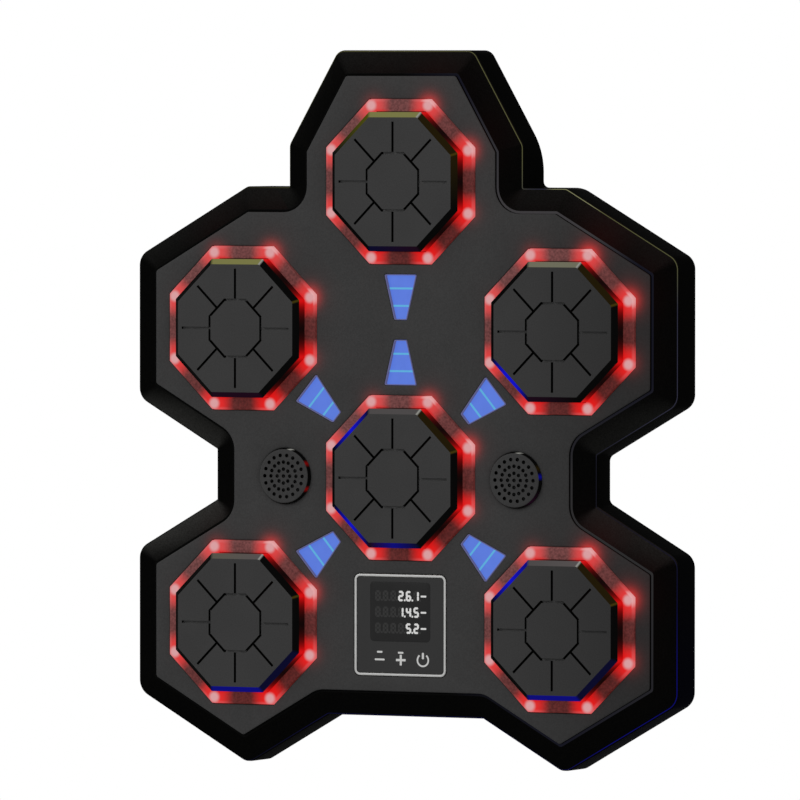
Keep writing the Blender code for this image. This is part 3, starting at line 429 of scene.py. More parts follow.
def edge_line(normal_degrees, distance, centre=(0.0, 0.0)):
    """Give a line as its outward normal and its distance from the origin."""
    normal = Vector((math.cos(math.radians(normal_degrees)), math.sin(math.radians(normal_degrees))))
    return normal, distance + normal.dot(Vector(centre))


def crossing(first, second):
    """Give the point where two lines meet."""
    (n1, d1), (n2, d2) = first, second
    det = n1.x * n2.y - n1.y * n2.x
    return Vector(((d1 * n2.y - d2 * n1.y) / det, (n1.x * d2 - n2.x * d1) / det))


def right_edges(tuck, flare):
    """List the right half's edges clockwise from the top, with the waist's tuck and the head's flare."""
    upper, lower = TARGETS["upper_right"], TARGETS["lower_right"]
    return [
        edge_line(90, TOP_APOTHEM, TARGETS["top"]),
        edge_line(30, TOP_APOTHEM, TARGETS["top"]),
        edge_line(0, HEAD_HALF_WIDTH + flare),
        edge_line(90, SHOULDER_Z),
        edge_line(60, SIDE_APOTHEM, upper),
        edge_line(0, SIDE_APOTHEM, upper),
        edge_line(-60, SIDE_APOTHEM, upper),
        edge_line(0, WAIST_X - tuck),
        edge_line(60, SIDE_APOTHEM, lower),
        edge_line(0, SIDE_APOTHEM, lower),
        edge_line(-60, SIDE_APOTHEM, lower),
        edge_line(-120, SIDE_APOTHEM, lower),
        edge_line(-90, CHIN_Z),
    ]


# Radius of each corner of the right half at the front edge and at the wall
CORNERS = [
    (0.0080, 0.0080), (0.0080, 0.0500), (0.0005, 0.0040), (0.0060, 0.0200), (0.0110, 0.0110),
    (0.0110, 0.0110), (0.0005, 0.0050), (0.0005, 0.0050), (0.0110, 0.0110), (0.0120, 0.0120),
    (0.0100, 0.0100), (0.0005, 0.0060),
]


def arc(corner, into, out_of, radius, facets):
    """Round a corner between two unit directions with a tangent arc."""
    turn = into.angle(out_of)
    reach = radius * math.tan(turn / 2)
    side = 1.0 if into.cross(out_of) > 0 else -1.0
    start = corner - into * reach
    centre = start + Vector((-into.y, into.x)) * side * radius
    spoke = start - centre
    return [centre + Matrix.Rotation(side * turn * i / facets, 2) @ spoke for i in range(facets + 1)]


def wall_share(depth):
    """Give how far back a depth is, from 0 where the side wall ends to 1 at its rim."""
    side_end = EDGE_DEPTH - EDGE_ROUND
    return min(max((side_end - depth) / (side_end - WALL_GAP), 0.0), 1.0)


def outline(inset, facets, depth=EDGE_DEPTH, waist_depth=None):
    """Give the housing's outline at a depth, moved inwards by an inset, clockwise from the top."""
    share = wall_share(depth)
    tuck = WAIST_TUCK * wall_share(depth if waist_depth is None else waist_depth)
    lines = [(normal, distance - inset) for normal, distance in right_edges(tuck, HEAD_FLARE * share)]
    points = []
    for (front_radius, wall_radius), before, after in zip(CORNERS, lines, lines[1:]):
        into = Vector((before[0].y, -before[0].x))
        out_of = Vector((after[0].y, -after[0].x))
        radius = front_radius + (wall_radius - front_radius) * share
        hollow = into.cross(out_of) > 0
        radius = radius + inset if hollow else max(radius - inset, LEAST_CORNER)
        points += arc(crossing(before, after), into, out_of, radius, facets)
    points = [Vector((p.x, max(p.y, CAD_BOX[0][2]))) for p in points]
    return points + [Vector((-p.x, p.y)) for p in reversed(points)]


def regular(sides, across_half, centre=(0.0, 0.0)):
    """Give a regular polygon that stands on a flat side, by half its distance across flats."""
    reach = across_half / math.cos(math.pi / sides)
    angles = [2 * math.pi * (i + 0.5) / sides for i in range(sides)]
    return [Vector((centre[0] + reach * math.cos(a), centre[1] + reach * math.sin(a))) for a in angles]


def circle(radius, centre=(0.0, 0.0), steps=64):
    """Give the points of a circle."""
    angles = [2 * math.pi * i / steps for i in range(steps)]
    return [Vector((centre[0] + radius * math.cos(a), centre[1] + radius * math.sin(a))) for a in angles]


SHARPEST = 0.00005                       # radius of a corner that would be sharp


def rounded(corners, radius, facets=4):
    """Round all the corners of a convex polygon."""
    points = []
    for i, corner in enumerate(corners):
        into = (corner - corners[i - 1]).normalized()
        out_of = (corners[(i + 1) % len(corners)] - corner).normalized()
        points += arc(corner, into, out_of, max(radius, SHARPEST), facets)
    return points


def rectangle(half_width, half_height, centre, radius):
    """Give a rectangle with round corners."""
    signs = ((1, 1), (-1, 1), (-1, -1), (1, -1))
    corners = [Vector((centre[0] + sx * half_width, centre[1] + sz * half_height)) for sx, sz in signs]
    return rounded(corners, radius, 6)


def octagon(half, radius, centre=(0.0, 0.0)):
    """Give an octagon with round corners, by half its distance across flats."""
    return rounded(regular(OCTAGON, half, centre), radius, 3)


def window_outline(grow):
    """Give a light window's outline, narrow end at the origin and wide end along +z."""
    run = WINDOW_LENGTH + 2 * grow
    flare = (WINDOW_WIDE - WINDOW_NARROW) / 2 / WINDOW_LENGTH
    near = WINDOW_NARROW / 2 + grow * math.hypot(1.0, flare) - grow * flare
    far = near + run * flare
    corners = [Vector(c) for c in ((far, run), (-far, run), (-near, 0.0), (near, 0.0))]
    return [p - Vector((0.0, grow)) for p in rounded(corners, 0.0010 + grow / 2)]


def window_place(name):
    """Give a light window's narrow-end place and turn about the forward axis."""
    far_end = WINDOW_REACH + WINDOW_LENGTH
    if name == "top_upper":
        return Vector((0.0, TOP_Z - far_end)), 0.0
    if name == "top_lower":
        return Vector((0.0, far_end)), math.pi
    way = TARGETS[name].normalized()
    return way * WINDOW_REACH, math.atan2(way.y, way.x) - math.pi / 2


def window_at(name, grow=0.0):
    """Give a light window's outline in its place."""
    place, angle = window_place(name)
    return [Matrix.Rotation(angle, 2) @ p + place for p in window_outline(grow)]


def fillet(path, facets=4):
    """Round the inner corners of an open path, whose points are a reach, a depth and a rounding."""
    points = [Vector(path[0][:2])]
    for before, (x, y, radius), after in zip(path, path[1:], path[2:]):
        corner = Vector((x, y))
        into = (corner - Vector(before[:2])).normalized()
        out_of = (Vector(after[:2]) - corner).normalized()
        points += arc(corner, into, out_of, radius, facets) if radius else [corner]
    return points + [Vector(path[-1][:2])]


# Making pieces

SAME_POINT = 1e-7                        # points no further apart than this are one


def link(name, mesh):
    """Make an object and put it in the scene."""
    obj = bpy.data.objects.new(name, mesh)
    bpy.context.scene.collection.objects.link(obj)
    return obj


def piece_from(name, shape):
    """Turn a bmesh into an object whose faces point out."""
    bmesh.ops.remove_doubles(shape, verts=shape.verts, dist=SAME_POINT)
    bmesh.ops.recalc_face_normals(shape, faces=shape.faces)
    mesh = bpy.data.meshes.new(name)
    shape.to_mesh(mesh)
    shape.free()
    return link(name, mesh)


def section(points, depth):
    """Stand an outline up at a depth."""
    return [Vector((p[0], -depth, p[1])) for p in points]


def loft(shape, rings, closed=False, caps=True):
    """Skin rings of equally many points; a closed loft joins the last to the first."""
    rows = [[shape.verts.new(p) for p in ring] for ring in rings]
    pairs = list(zip(rows, rows[1:])) + ([(rows[-1], rows[0])] if closed else [])
    for first, second in pairs:
        for i in range(len(first)):
            j = (i + 1) % len(first)
            shape.faces.new((first[i], first[j], second[j], second[i]))
    if caps and not closed:
        shape.faces.new(rows[0])
        shape.faces.new(rows[-1])
    return rows


def ring_edges(row):
    """List the edges of a row of vertices."""
    edges = []
    for i, vert in enumerate(row):
        follower = row[(i + 1) % len(row)]
        edges.append(next(e for e in vert.link_edges if follower in e.verts))
    return edges


def tubes(name, centres, radii, depths, steps):
    """Make forward tubes between two radii and two depths, all as one piece."""
    (inner, outer), (back, front) = radii, depths
    profile = ((inner, back), (inner, front), (outer, front), (outer, back))
    shape = bmesh.new()
    for centre in centres:
        loft(shape, [section(circle(r, centre, steps), depth) for r, depth in profile], closed=True)
    return piece_from(name, shape)


def flat_piece(name, makers, back, front, front_round=0.0, back_round=0.0):
    """Make a flat piece with round edges.

    Each maker gives an edge of the piece moved into the material by a distance: first the outer edge, then
    the holes.
    """
    facets = 3
    stations = []
    for i in range(facets + 1 if front_round else 1):
        angle = math.pi / 2 * i / facets
        stations.append((front_round * (1 - math.sin(angle)), front - front_round * (1 - math.cos(angle))))
    for i in range(facets, -1, -1) if back_round else [0]:
        angle = math.pi / 2 * i / facets
        stations.append((back_round * (1 - math.sin(angle)), back + back_round * (1 - math.cos(angle))))
    shape = bmesh.new()
    fronts, backs = [], []
    for maker in makers:
        rows = loft(shape, [section(maker(inset), depth) for inset, depth in stations], caps=False)
        fronts += ring_edges(rows[0])
        backs += ring_edges(rows[-1])
    bmesh.ops.triangle_fill(shape, use_beauty=True, edges=fronts, normal=(0.0, -1.0, 0.0))
    bmesh.ops.triangle_fill(shape, use_beauty=True, edges=backs, normal=(0.0, 1.0, 0.0))
    return piece_from(name, shape)


def plain(obj):
    """Turn an object with its modifiers into a plain mesh object at the origin."""
    bpy.context.view_layer.update()
    graph = bpy.context.evaluated_depsgraph_get()
    mesh = bpy.data.meshes.new_from_object(obj.evaluated_get(graph))
    mesh.transform(obj.matrix_world)
    name = obj.name
    bpy.data.objects.remove(obj)
    mesh.name = name
    return link(name, mesh)


def shade(obj, degrees=30):
    """Shade a piece smoothly up to its sharp edges."""
    obj.data.shade_smooth()
    obj.data.set_sharp_from_angle(angle=math.radians(degrees))
    return obj


def paint(obj, *finishes, choose=None):
    """Give a piece its finishes; choose gives the finish's number for a face."""
    obj.data.materials.clear()
    for finish in finishes:
        obj.data.materials.append(finish)
    for face in obj.data.polygons:
        face.material_index = choose(face) if choose else 0
    return obj


def seat(obj, body, slot, *nodes):
    """Let a piece ride on a body, in the place of some nodes of the construction model."""
    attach(obj, body)
    if nodes:
        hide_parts(*nodes)
    return obj


def copy_to(obj, name, shift):
    """Copy a finished piece, with the shift in its mesh."""
    mesh = obj.data.copy()
    mesh.transform(Matrix.Translation((shift[0], 0.0, shift[1])))
    return link(name, mesh)


def cut(obj, cutter):
    """Cut one shape out of another."""
    modifier = obj.modifiers.new("cut", "BOOLEAN")
    modifier.operation = "DIFFERENCE"
    modifier.object = cutter
    made = plain(obj)
    bpy.data.objects.remove(cutter)
    return made


def is_front(face, least=0.95):
    """Say whether a face looks forward."""
    return -face.normal.y > least


def markers(name, places, depth):
    """Make an object of loose points at places on the front."""
    mesh = bpy.data.meshes.new(name)
    mesh.from_pydata([(x, -depth, z) for x, z in places], [], [])
    return link(name, mesh)


# Geometry Nodes

FORWARD = (math.pi / 2, 0.0, 0.0)        # rotation that turns +z to the front


class Recipe(Graph):
    """A Geometry Nodes tree with named inputs."""

    def __init__(self, name, inputs):
        tree = bpy.data.node_groups.new(name, "GeometryNodeTree")
        tree.interface.new_socket("Geometry", in_out="INPUT", socket_type="NodeSocketGeometry")
        for label, kind in inputs.items():
            tree.interface.new_socket(label, in_out="INPUT", socket_type="NodeSocket" + kind)
        tree.interface.new_socket("Geometry", in_out="OUTPUT", socket_type="NodeSocketGeometry")
        super().__init__(tree)
        self.given = self.add("NodeGroupInput")

    def vector(self, **axes):
        """Join numbers into a vector."""
        return self.add("ShaderNodeCombineXYZ", None, axes)

    def bar(self, x, y, z):
        """Make a box by its three sizes."""
        return self.add("GeometryNodeMeshCube", None, {"Size": self.vector(X=x, Y=y, Z=z)})

    def moved(self, geometry, **how):
        """Move or turn geometry."""
        return self.add("GeometryNodeTransform", None, {"Geometry": geometry, **how})

    def cut(self, body, cutter):
        """Cut one mesh out of another."""
        settings = {"operation": "DIFFERENCE", "solver": "EXACT"}
        return self.add("GeometryNodeMeshBoolean", settings, {"Mesh 1": body, "Mesh 2": cutter})

    def set_on(self, points, geometry, turn):
        """Set a turned copy of the geometry on each point."""
        sockets = {"Points": points, "Instance": geometry, "Rotation": turn}
        return self.add("GeometryNodeInstanceOnPoints", None, sockets)

    def realized(self, instances):
        """Turn instances into one mesh."""
        return self.add("GeometryNodeRealizeInstances", None, {"Geometry": instances})

    def finish(self, geometry):
        """End the tree: realize the instances and set the material."""
        sockets = {"Geometry": self.realized(geometry), "Material": self.given.out("Material")}
        self.add("NodeGroupOutput", None, {"Geometry": self.add("GeometryNodeSetMaterial", None, sockets)})
        return self.tree


def use_recipe(obj, tree, **values):
    """Run a Geometry Nodes tree on an object and keep the plain mesh that it makes."""
    modifier = obj.modifiers.new(tree.name, "NODES")
    modifier.node_group = tree
    for item in tree.interface.items_tree:
        key = item.name.lower().replace(" ", "_")
        if item.in_out == "INPUT" and key in values:
            modifier[item.identifier] = values[key]
    return plain(obj)


def perforation_recipe():
    """Drill round holes along the forward axis at the places of a marker object."""
    inputs = {"Places": "Object", "Radius": "Float", "Length": "Float", "Sides": "Int",
              "Material": "Material"}
    tree = Recipe("Perforations", inputs)
    given = tree.given
    sockets = {"Vertices": given.out("Sides"), "Radius": given.out("Radius"), "Depth": given.out("Length")}
    pin = tree.add("GeometryNodeMeshCylinder", None, sockets)
    relative, sockets = {"transform_space": "RELATIVE"}, {"Object": given.out("Places")}
    places = tree.add("GeometryNodeObjectInfo", relative, sockets).out("Geometry")
    pins = tree.realized(tree.set_on(places, pin, FORWARD))
    return tree.finish(tree.cut(given.out("Geometry"), pins))


def screw_recipe():
    """Set a screw with a cross recess at each point of the object, its head towards the wall."""
    inputs = {"Head Radius": "Float", "Head Height": "Float", "Shank Radius": "Float", "Length": "Float",
              "Material": "Material"}
    tree = Recipe("Screws", inputs)
    given = tree.given
    height, shank_radius = given.out("Head Height"), given.out("Shank Radius")
    sockets = {"Vertices": 32, "Radius": given.out("Head Radius"), "Depth": height}
    head = tree.add("GeometryNodeMeshCylinder", None, sockets)
    arm = given.out("Head Radius") * 1.1
    for wide, high in ((arm, arm * 0.24), (arm * 0.24, arm)):
        lift = tree.vector(Z=height * -0.55)
        head = tree.cut(head, tree.moved(tree.bar(wide, high, height), Translation=lift))
    sockets = {"Vertices": 20, "Radius Top": shank_radius * 0.6, "Radius Bottom": shank_radius,
               "Depth": given.out("Length")}
    shank = tree.add("GeometryNodeMeshCone", None, sockets)
    shank = tree.moved(shank, Translation=tree.vector(Z=height * 0.45))
    union = {"operation": "UNION", "solver": "EXACT"}
    screw = tree.add("GeometryNodeMeshBoolean", union, {"Mesh 2": [head, shank]})
    return tree.finish(tree.set_on(given.out("Geometry"), screw, FORWARD))


def coil_recipe():
    """Wind a compression spring with closed end turns forward of each point of the object."""
    inputs = {"Turns": "Float", "Radius": "Float", "Wire": "Float", "Height": "Float", "Material": "Material"}
    tree = Recipe("Coils", inputs)
    given = tree.given
    turns, wire, height = given.out("Turns"), given.out("Wire"), given.out("Height")
    sockets = {"Resolution": 32, "Rotations": turns, "Start Radius": given.out("Radius"),
               "End Radius": given.out("Radius"), "Height": 0.0}
    spiral = tree.add("GeometryNodeCurveSpiral", None, sockets)
    turn = tree.add("GeometryNodeSplineParameter").out("Factor") * turns
    closed = wire * 1.5
    active = (height - wire - 2.0 * closed) / (turns - 2.0)
    first, last = turn.math("MINIMUM", 1.0), (turn - (turns - 1.0)).math("MAXIMUM", 0.0)
    rise = closed * first + active * (turn - first - last) + closed * last + wire * 0.5
    sockets = {"Geometry": spiral, "Offset": tree.vector(Z=rise)}
    spiral = tree.add("GeometryNodeSetPosition", None, sockets)
    ring = tree.add("GeometryNodeCurvePrimitiveCircle", None, {"Resolution": 12, "Radius": wire * 0.5})
    sockets = {"Curve": spiral, "Profile Curve": ring, "Fill Caps": True}
    coil = tree.add("GeometryNodeCurveToMesh", None, sockets)
    return tree.finish(tree.set_on(given.out("Geometry"), coil, FORWARD))


def groove_recipe():
    """Cut an octagonal groove and eight radial grooves into a cap's face, centred on the forward axis."""
    inputs = {"Half": "Float", "Outer": "Float", "Width": "Float", "Depth": "Float", "Face": "Float",
              "Material": "Material"}
    tree = Recipe("Grooves", inputs)
    given = tree.given
    half, outer, width = given.out("Half"), given.out("Outer"), given.out("Width")
    deep, run = given.out("Depth") * 2.0, outer - half
    slant = math.cos(math.pi / OCTAGON)
    corners = tree.add("GeometryNodeMeshCircle", None, {"Vertices": OCTAGON, "Radius": half / slant})
    path = tree.add("GeometryNodeMeshToCurve", None, {"Mesh": corners})
    sockets = {"Width": width / slant, "Height": deep}
    profile = tree.add("GeometryNodeCurvePrimitiveQuadrilateral", None, sockets)
    ring = tree.add("GeometryNodeCurveToMesh", None, {"Curve": path, "Profile Curve": profile})
    ring = tree.moved(ring, Rotation=(0.0, 0.0, math.pi / OCTAGON))
    middles = tree.add("GeometryNodeMeshCircle", None, {"Vertices": OCTAGON, "Radius": half + run * 0.5})
    x, y, _ = tree.axes(tree.add("GeometryNodeInputPosition"))
    turn = tree.vector(Z=y.math("ARCTAN2", x))
    bars = tree.realized(tree.set_on(middles, tree.bar(run, width, deep), turn))
    body, lift = given.out("Geometry"), tree.vector(Y=-given.out("Face"))
    for cutter in (ring, bars):
        body = tree.cut(body, tree.moved(cutter, Translation=lift, Rotation=FORWARD))
    return tree.finish(body)


# Finishes

EIGHTH = 2 * math.pi / OCTAGON
LIGHT_REACH = (RING_HALF - 0.0039) / math.cos(math.pi / OCTAGON)     # lights from a target's axis
GLOW_SIDE = 45                           # degrees round a target where its glow is strongest

# Painted reflections, highlights and glow that the glossy edges and the caps' sides show, and the colours of
# the light guides
TINTS = {
    "black": shown(4, 4, 4), "olive": shown(118, 117, 69), "pale_olive": shown(108, 107, 90),
    "dim_olive": shown(86, 83, 73), "dark_olive": shown(72, 72, 8), "brown": shown(30, 22, 4),
    "grey": shown(75, 72, 72), "pale_grey": shown(84, 79, 79), "plum": shown(26, 6, 22),
    "blue": shown(16, 16, 196), "navy": shown(10, 10, 118), "night": shown(8, 8, 40),
    "glint": shown(150, 150, 144), "amber": shown(66, 55, 10), "red": shown(110, 6, 6),
    "line_dark": shown(9, 9, 9), "line_blue": shown(12, 12, 48), "line_deep": shown(12, 12, 104),
    "line_dim": shown(20, 20, 30), "line_grey": shown(44, 43, 44), "line_olive": shown(84, 84, 54),
    "line_cool": shown(46, 46, 62), "line_bright": shown(124, 124, 90), "line_pale": shown(60, 58, 60),
    "side_red": shown(216, 12, 14), "guide_deep": shown(76, 28, 26), "guide_red": shown(220, 18, 16),
    "guide_pale": shown(210, 72, 72), "guide_rim": shown(214, 110, 112), "guide_inner": shown(216, 16, 18),
    "guide_corner": shown(232, 196, 196),
}
CAP_SIDES = ("lower_left", "bottom", "lower_right", "right", "upper_right", "top", "upper_left")
# Painted reflections on the caps' sloping edges.
CAP_TINTS = {      # for the sides of each cap's sloping edge, the tints along them, anticlockwise
    "top": {"top": ("olive",), "upper_left": ("dark_olive", "black"), "upper_right": ("brown",),
            "right": ("black", "brown"), "bottom": ("night", "plum")},
    "middle": {"top": ("grey",), "upper_left": ("night", "blue", "black"), "upper_right": ("brown",),
               "lower_left": ("black", "blue", "night"), "bottom": ("plum", "navy", "night")},
    "upper_left": {"top": ("olive",), "bottom": ("plum",)},
    "upper_right": {"top": ("pale_olive",), "upper_right": ("brown",), "bottom": ("plum", "black"),
                    "lower_left": ("night", "blue", "blue", "night")},
    "lower_left": {"top": ("pale_grey", "dim_olive"), "bottom": ("navy",), "lower_right": ("night",)},
    "lower_right": {"top": ("pale_grey", "grey"), "upper_right": ("brown",), "bottom": ("navy",),
                    "upper_left": ("navy", "blue", "black"), "lower_right": ("night",)},
}
# Painted glints at the corners of the caps' sloping edges.
CORNER_TINTS = {"right": "amber", "upper_right": "glint"}       # tints of the corners where these sides end

# Painted reflections and highlights along the speaker grilles' sides, the housing's outer edge and its lip,
# each with its angle round the middle in degrees
RIM_TINTS = {
    "left": ((-180, "black"), (-36, "black"), (-28, "red"), (-20, "black"), (20, "black"), (28, "red"),
             (36, "black"), (70, "black"), (77, "glint"), (84, "black"), (180, "black")),
    "right": ((-180, "black"), (-70, "black"), (-50, "plum"), (-20, "black"), (0, "black"), (8, "navy"),
              (16, "black"), (26, "brown"), (36, "black"), (74, "black"), (82, "glint"), (90, "black"),
              (180, "black")),
}
EDGE_TINTS = (
    (-180, "line_dark"), (-125, "line_dark"), (-110, "line_blue"), (-60, "line_blue"), (-50, "line_deep"),
    (-33, "line_deep"), (-22, "line_blue"), (-10, "line_dim"), (5, "line_dim"), (15, "line_cool"),
    (30, "line_cool"), (36, "line_olive"), (51, "line_olive"), (53, "line_bright"), (60.5, "line_bright"),
    (61.5, "line_cool"), (64, "line_cool"), (68, "line_olive"), (105, "line_olive"), (125, "line_dark"),
    (180, "line_dark"),
)
LIP_TINTS = (
    (-180, "black"), (-75, "black"), (-55, "line_dim"), (-20, "line_grey"), (0, "line_grey"),
    (20, "line_dim"), (40, "line_dim"), (50, "line_pale"), (68, "line_pale"), (80, "line_dim"),
    (90, "black"), (180, "black"),
)


def angle_stops(tints):
    """Turn tints at angles from -180 to 180 degrees into the stops of a ramp."""
    return [(angle / 360 + 0.5, TINTS[tint]) for angle, tint in tints]


def cap_stops(target):
    """List the ramp stops of a cap's sloping edge: its sides' painted reflections and the painted glints at
    the corners between them.
    """
    turn, gap = 1 / OCTAGON, 0.003
    stops = [(turn / 2 - gap, TINTS["black"])]
    for i, side in enumerate(CAP_SIDES):
        tints = CAP_TINTS[target].get(side, ("black",))
        tints = tints * 2 if len(tints) == 1 else tints
        start, run = (i + 0.5) * turn + gap, turn - 2 * gap
        stops += [(start + run * j / (len(tints) - 1), TINTS[tint]) for j, tint in enumerate(tints)]
        if side in CORNER_TINTS:
            stops.append(((i + 1.5) * turn, TINTS[CORNER_TINTS[side]]))
    return stops + [(1.0 - turn / 2 + gap, TINTS["black"])]


def target_polar(finish):
    """Give a point's distance from the nearest target's axis and its angle round it."""
    x, _, z = finish.axes(finish.place())
    row, middle = z.math("SIGN") * ROW_Z, (z > TOP_Z / 2) * TOP_Z
    out, side_up, middle_up = abs(x) - COLUMN_X, z - row, z - middle
    side = (out * out + side_up * side_up) < (x * x + middle_up * middle_up)
    across, up = x - x.math("SIGN") * side * COLUMN_X, side * side_up + (1.0 - side) * middle_up
    return (across * across + up * up).math("SQRT"), up.math("ARCTAN2", across)


def target_angle(finish):
    """Give the angle round the nearest target's axis."""
    return target_polar(finish)[1]


def middle_angle(finish):
    """Give the angle round the machine's middle."""
    x, _, z = finish.axes(finish.place())
    return z.math("ARCTAN2", x)


def speaker_angle(finish):
    """Give the angle round the nearer speaker grille's middle."""
    centre = centre_of("speaker_grille_right")
    x, _, z = finish.axes(finish.place())
    return (z - centre.y).math("ARCTAN2", x - x.math("SIGN") * centre.x)


def fold(eighths):
    """Give how far an angle, in eighths of a turn, is from the middle of its eighth, in radians."""
    return (eighths - eighths.math("FLOOR") - 0.5) * EIGHTH


def light_distance(radius, angle):
    """Give the distance to the nearest of a target's eight lights."""
    turn = fold(angle / EIGHTH)
    square = radius * radius + LIGHT_REACH * LIGHT_REACH - 2.0 * LIGHT_REACH * radius * turn.math("COSINE")
    return square.math("MAXIMUM", 0.0).math("SQRT")


def leaning(angle, degrees):
    """Give 1 on the side of a target at some degrees, falling smoothly to 0 on the other side."""
    return (angle - math.radians(degrees)).math("COSINE") * 0.5 + 0.5


def matt_grey(colours, name="matt_grey", lit=False, share=1.0):
    """Make the moulded matt grey of plate, caps and speakers, with painted shade to the right; the lit one
    has the rings' painted glow.
    """
    finish = Finish(name, specular_ior_level=0.04, emission_strength=float(lit))
    cloud, grain = finish.noise(0.030, 3.0), finish.noise(0.0008)
    darker, brighter = rgb(colours.matt, 0.97 * share), rgb(colours.matt, 1.04 * share)
    painted_shade = rgb(colours.matt, (0.55 if lit else 0.65) * share)
    # Painted shade: the grey darkens towards the right side of the machine.
    x = finish.axes(finish.place())[0]
    tone = finish.tint(x.ramp(0.05, 0.20), finish.tint(cloud.ramp(0.3, 0.7), darker, brighter), painted_shade)
    base = finish.speckled(tone, grain.ramp(0.3, 0.7), 0.90, 1.10)
    finish.feed(base_color=base, roughness=0.50 + 0.10 * cloud, normal=finish.bump(grain, 0.00004, 0.5))
    if lit:
        # Painted red glow of the light rings, cast on the plate near each light and strongest towards the
        # upper right.
        radius, angle = target_polar(finish)
        away, lean = light_distance(radius, angle), leaning(angle, GLOW_SIDE)
        near, wide = (away * away).fade(0.00004), away.fade(0.007) * 0.035
        tail = away.fade(0.004) * (0.28 + 0.92 * x.ramp(0.09, 0.15))
        glow = lean ** 5.0 * (near * 0.90 + tail) + lean ** 2.0 * wide
        finish.feed(emission_color=finish.tint(glow.clamp(), rgb(DARK), rgb(colours.red)))
    return finish.material


def satin_black(colours):
    """Make the housing's satin black, with a painted sheen where its band slopes up and at the waist, a
    painted blue reflection low on the right side and a painted red glow near the lights.
    """
    finish = Finish("satin_black", specular_ior_level=0.0002, emission_strength=1.0)
    grain, cloud = finish.noise(0.0006, 3.0), finish.noise(0.020)
    x, y, z = finish.axes(finish.place())
    _, faces_y, faces_z = finish.axes(finish.add("ShaderNodeNewGeometry").out("Normal"))
    # Painted sheen: the band is paler where it faces up and where it slopes at the waist, more so on the
    # left.
    left, band, rise = x.ramp(0.04, -0.04), (-faces_y).ramp(0.2, 0.4), faces_z.ramp(0.10, 0.45)
    slope = abs(faces_z).ramp(0.10, 0.40) * abs(z).ramp(0.062, 0.040)
    paler = band * (rise * (0.16 + 0.06 * left) + slope * (0.22 + 0.48 * left))
    tone = finish.tint(paler, rgb(colours.black), rgb(colours.black, 14.0))
    # Painted blue reflection on the side wall, low on the right.
    painted_blue_reflection = x.ramp(0.08, 0.19) * z.ramp(-0.03, -0.13) * (-y).ramp(0.029, 0.024)
    tone = finish.tint(painted_blue_reflection, tone, rgb((0.0012, 0.0012, 0.0026)))
    base = finish.speckled(tone, grain.ramp(0.3, 0.7), 0.7, 1.5)
    radius, angle = target_polar(finish)
    # Painted red glow of the lights on the band, stronger where it faces up.
    glow = light_distance(radius, angle).fade(0.010) * leaning(angle, GLOW_SIDE) ** 4.0
    glow = glow * 0.10 * band * (0.15 + 0.85 * rise)
    finish.feed(base_color=base, roughness=0.26 + 0.10 * cloud, normal=finish.bump(grain, 0.00003, 0.4),
                emission_color=finish.tint(glow, rgb(DARK), rgb(colours.red)))
    return finish.material


def cover_plastic(colours):
    """Make the coarse moulded plastic of the cover's back."""
    finish = Finish("grained_cover", specular_ior_level=0.05)
    cloud, grain = finish.noise(0.040, 3.0), finish.noise(0.0012, 4.0)
    base = finish.tint(grain.ramp(0.3, 0.7), rgb(colours.matt, 0.66), rgb(colours.matt, 0.98))
    finish.feed(base_color=base, roughness=0.52 + 0.12 * cloud, normal=finish.bump(grain, 0.00006, 0.6))
    return finish.material


def gloss(finish, colours, light, smoothest, spread):
    """End a glossy black finish with its grain and the painted light that it shows: reflections, highlights
    or glow.
    """
    grain = finish.noise(0.0008)
    base = finish.tint(grain, rgb(colours.black, 0.4), rgb(colours.black, 1.2))
    finish.feed(base_color=base, roughness=smoothest + spread * grain, emission_color=light)
    return finish.material


def gloss_with_painted_reflections(colours, name, stops, angle_from, specular=0.002):
    """Make the glossy black of a narrow edge, with painted reflections and highlights whose tints follow the
    angle round a middle.
    """
    finish = Finish(name, specular_ior_level=specular, emission_strength=1.0)
    share = angle_from(finish) / (2 * math.pi) + 0.5
    # The ramp paints reflections and highlights as light.
    light = finish.add("ShaderNodeValToRGB", {"stops": stops}, {0: share})
    return gloss(finish, colours, light, 0.10, 0.06)


def cap_side(colours):
    """Make the black of the caps' upright sides, with a painted red glow of the lights close to them."""
    finish = Finish("cap_side", specular_ior_level=0.01, emission_strength=1.0)
    # Painted red glow of the nearest light on the cap's side.
    glow = (light_distance(*target_polar(finish)) - 0.005).math("MAXIMUM", 0.0).fade(0.0030) * 0.90
    light = finish.tint(glow, rgb(TINTS["black"]), rgb(TINTS["side_red"]))
    return gloss(finish, colours, light, 0.25, 0.10)


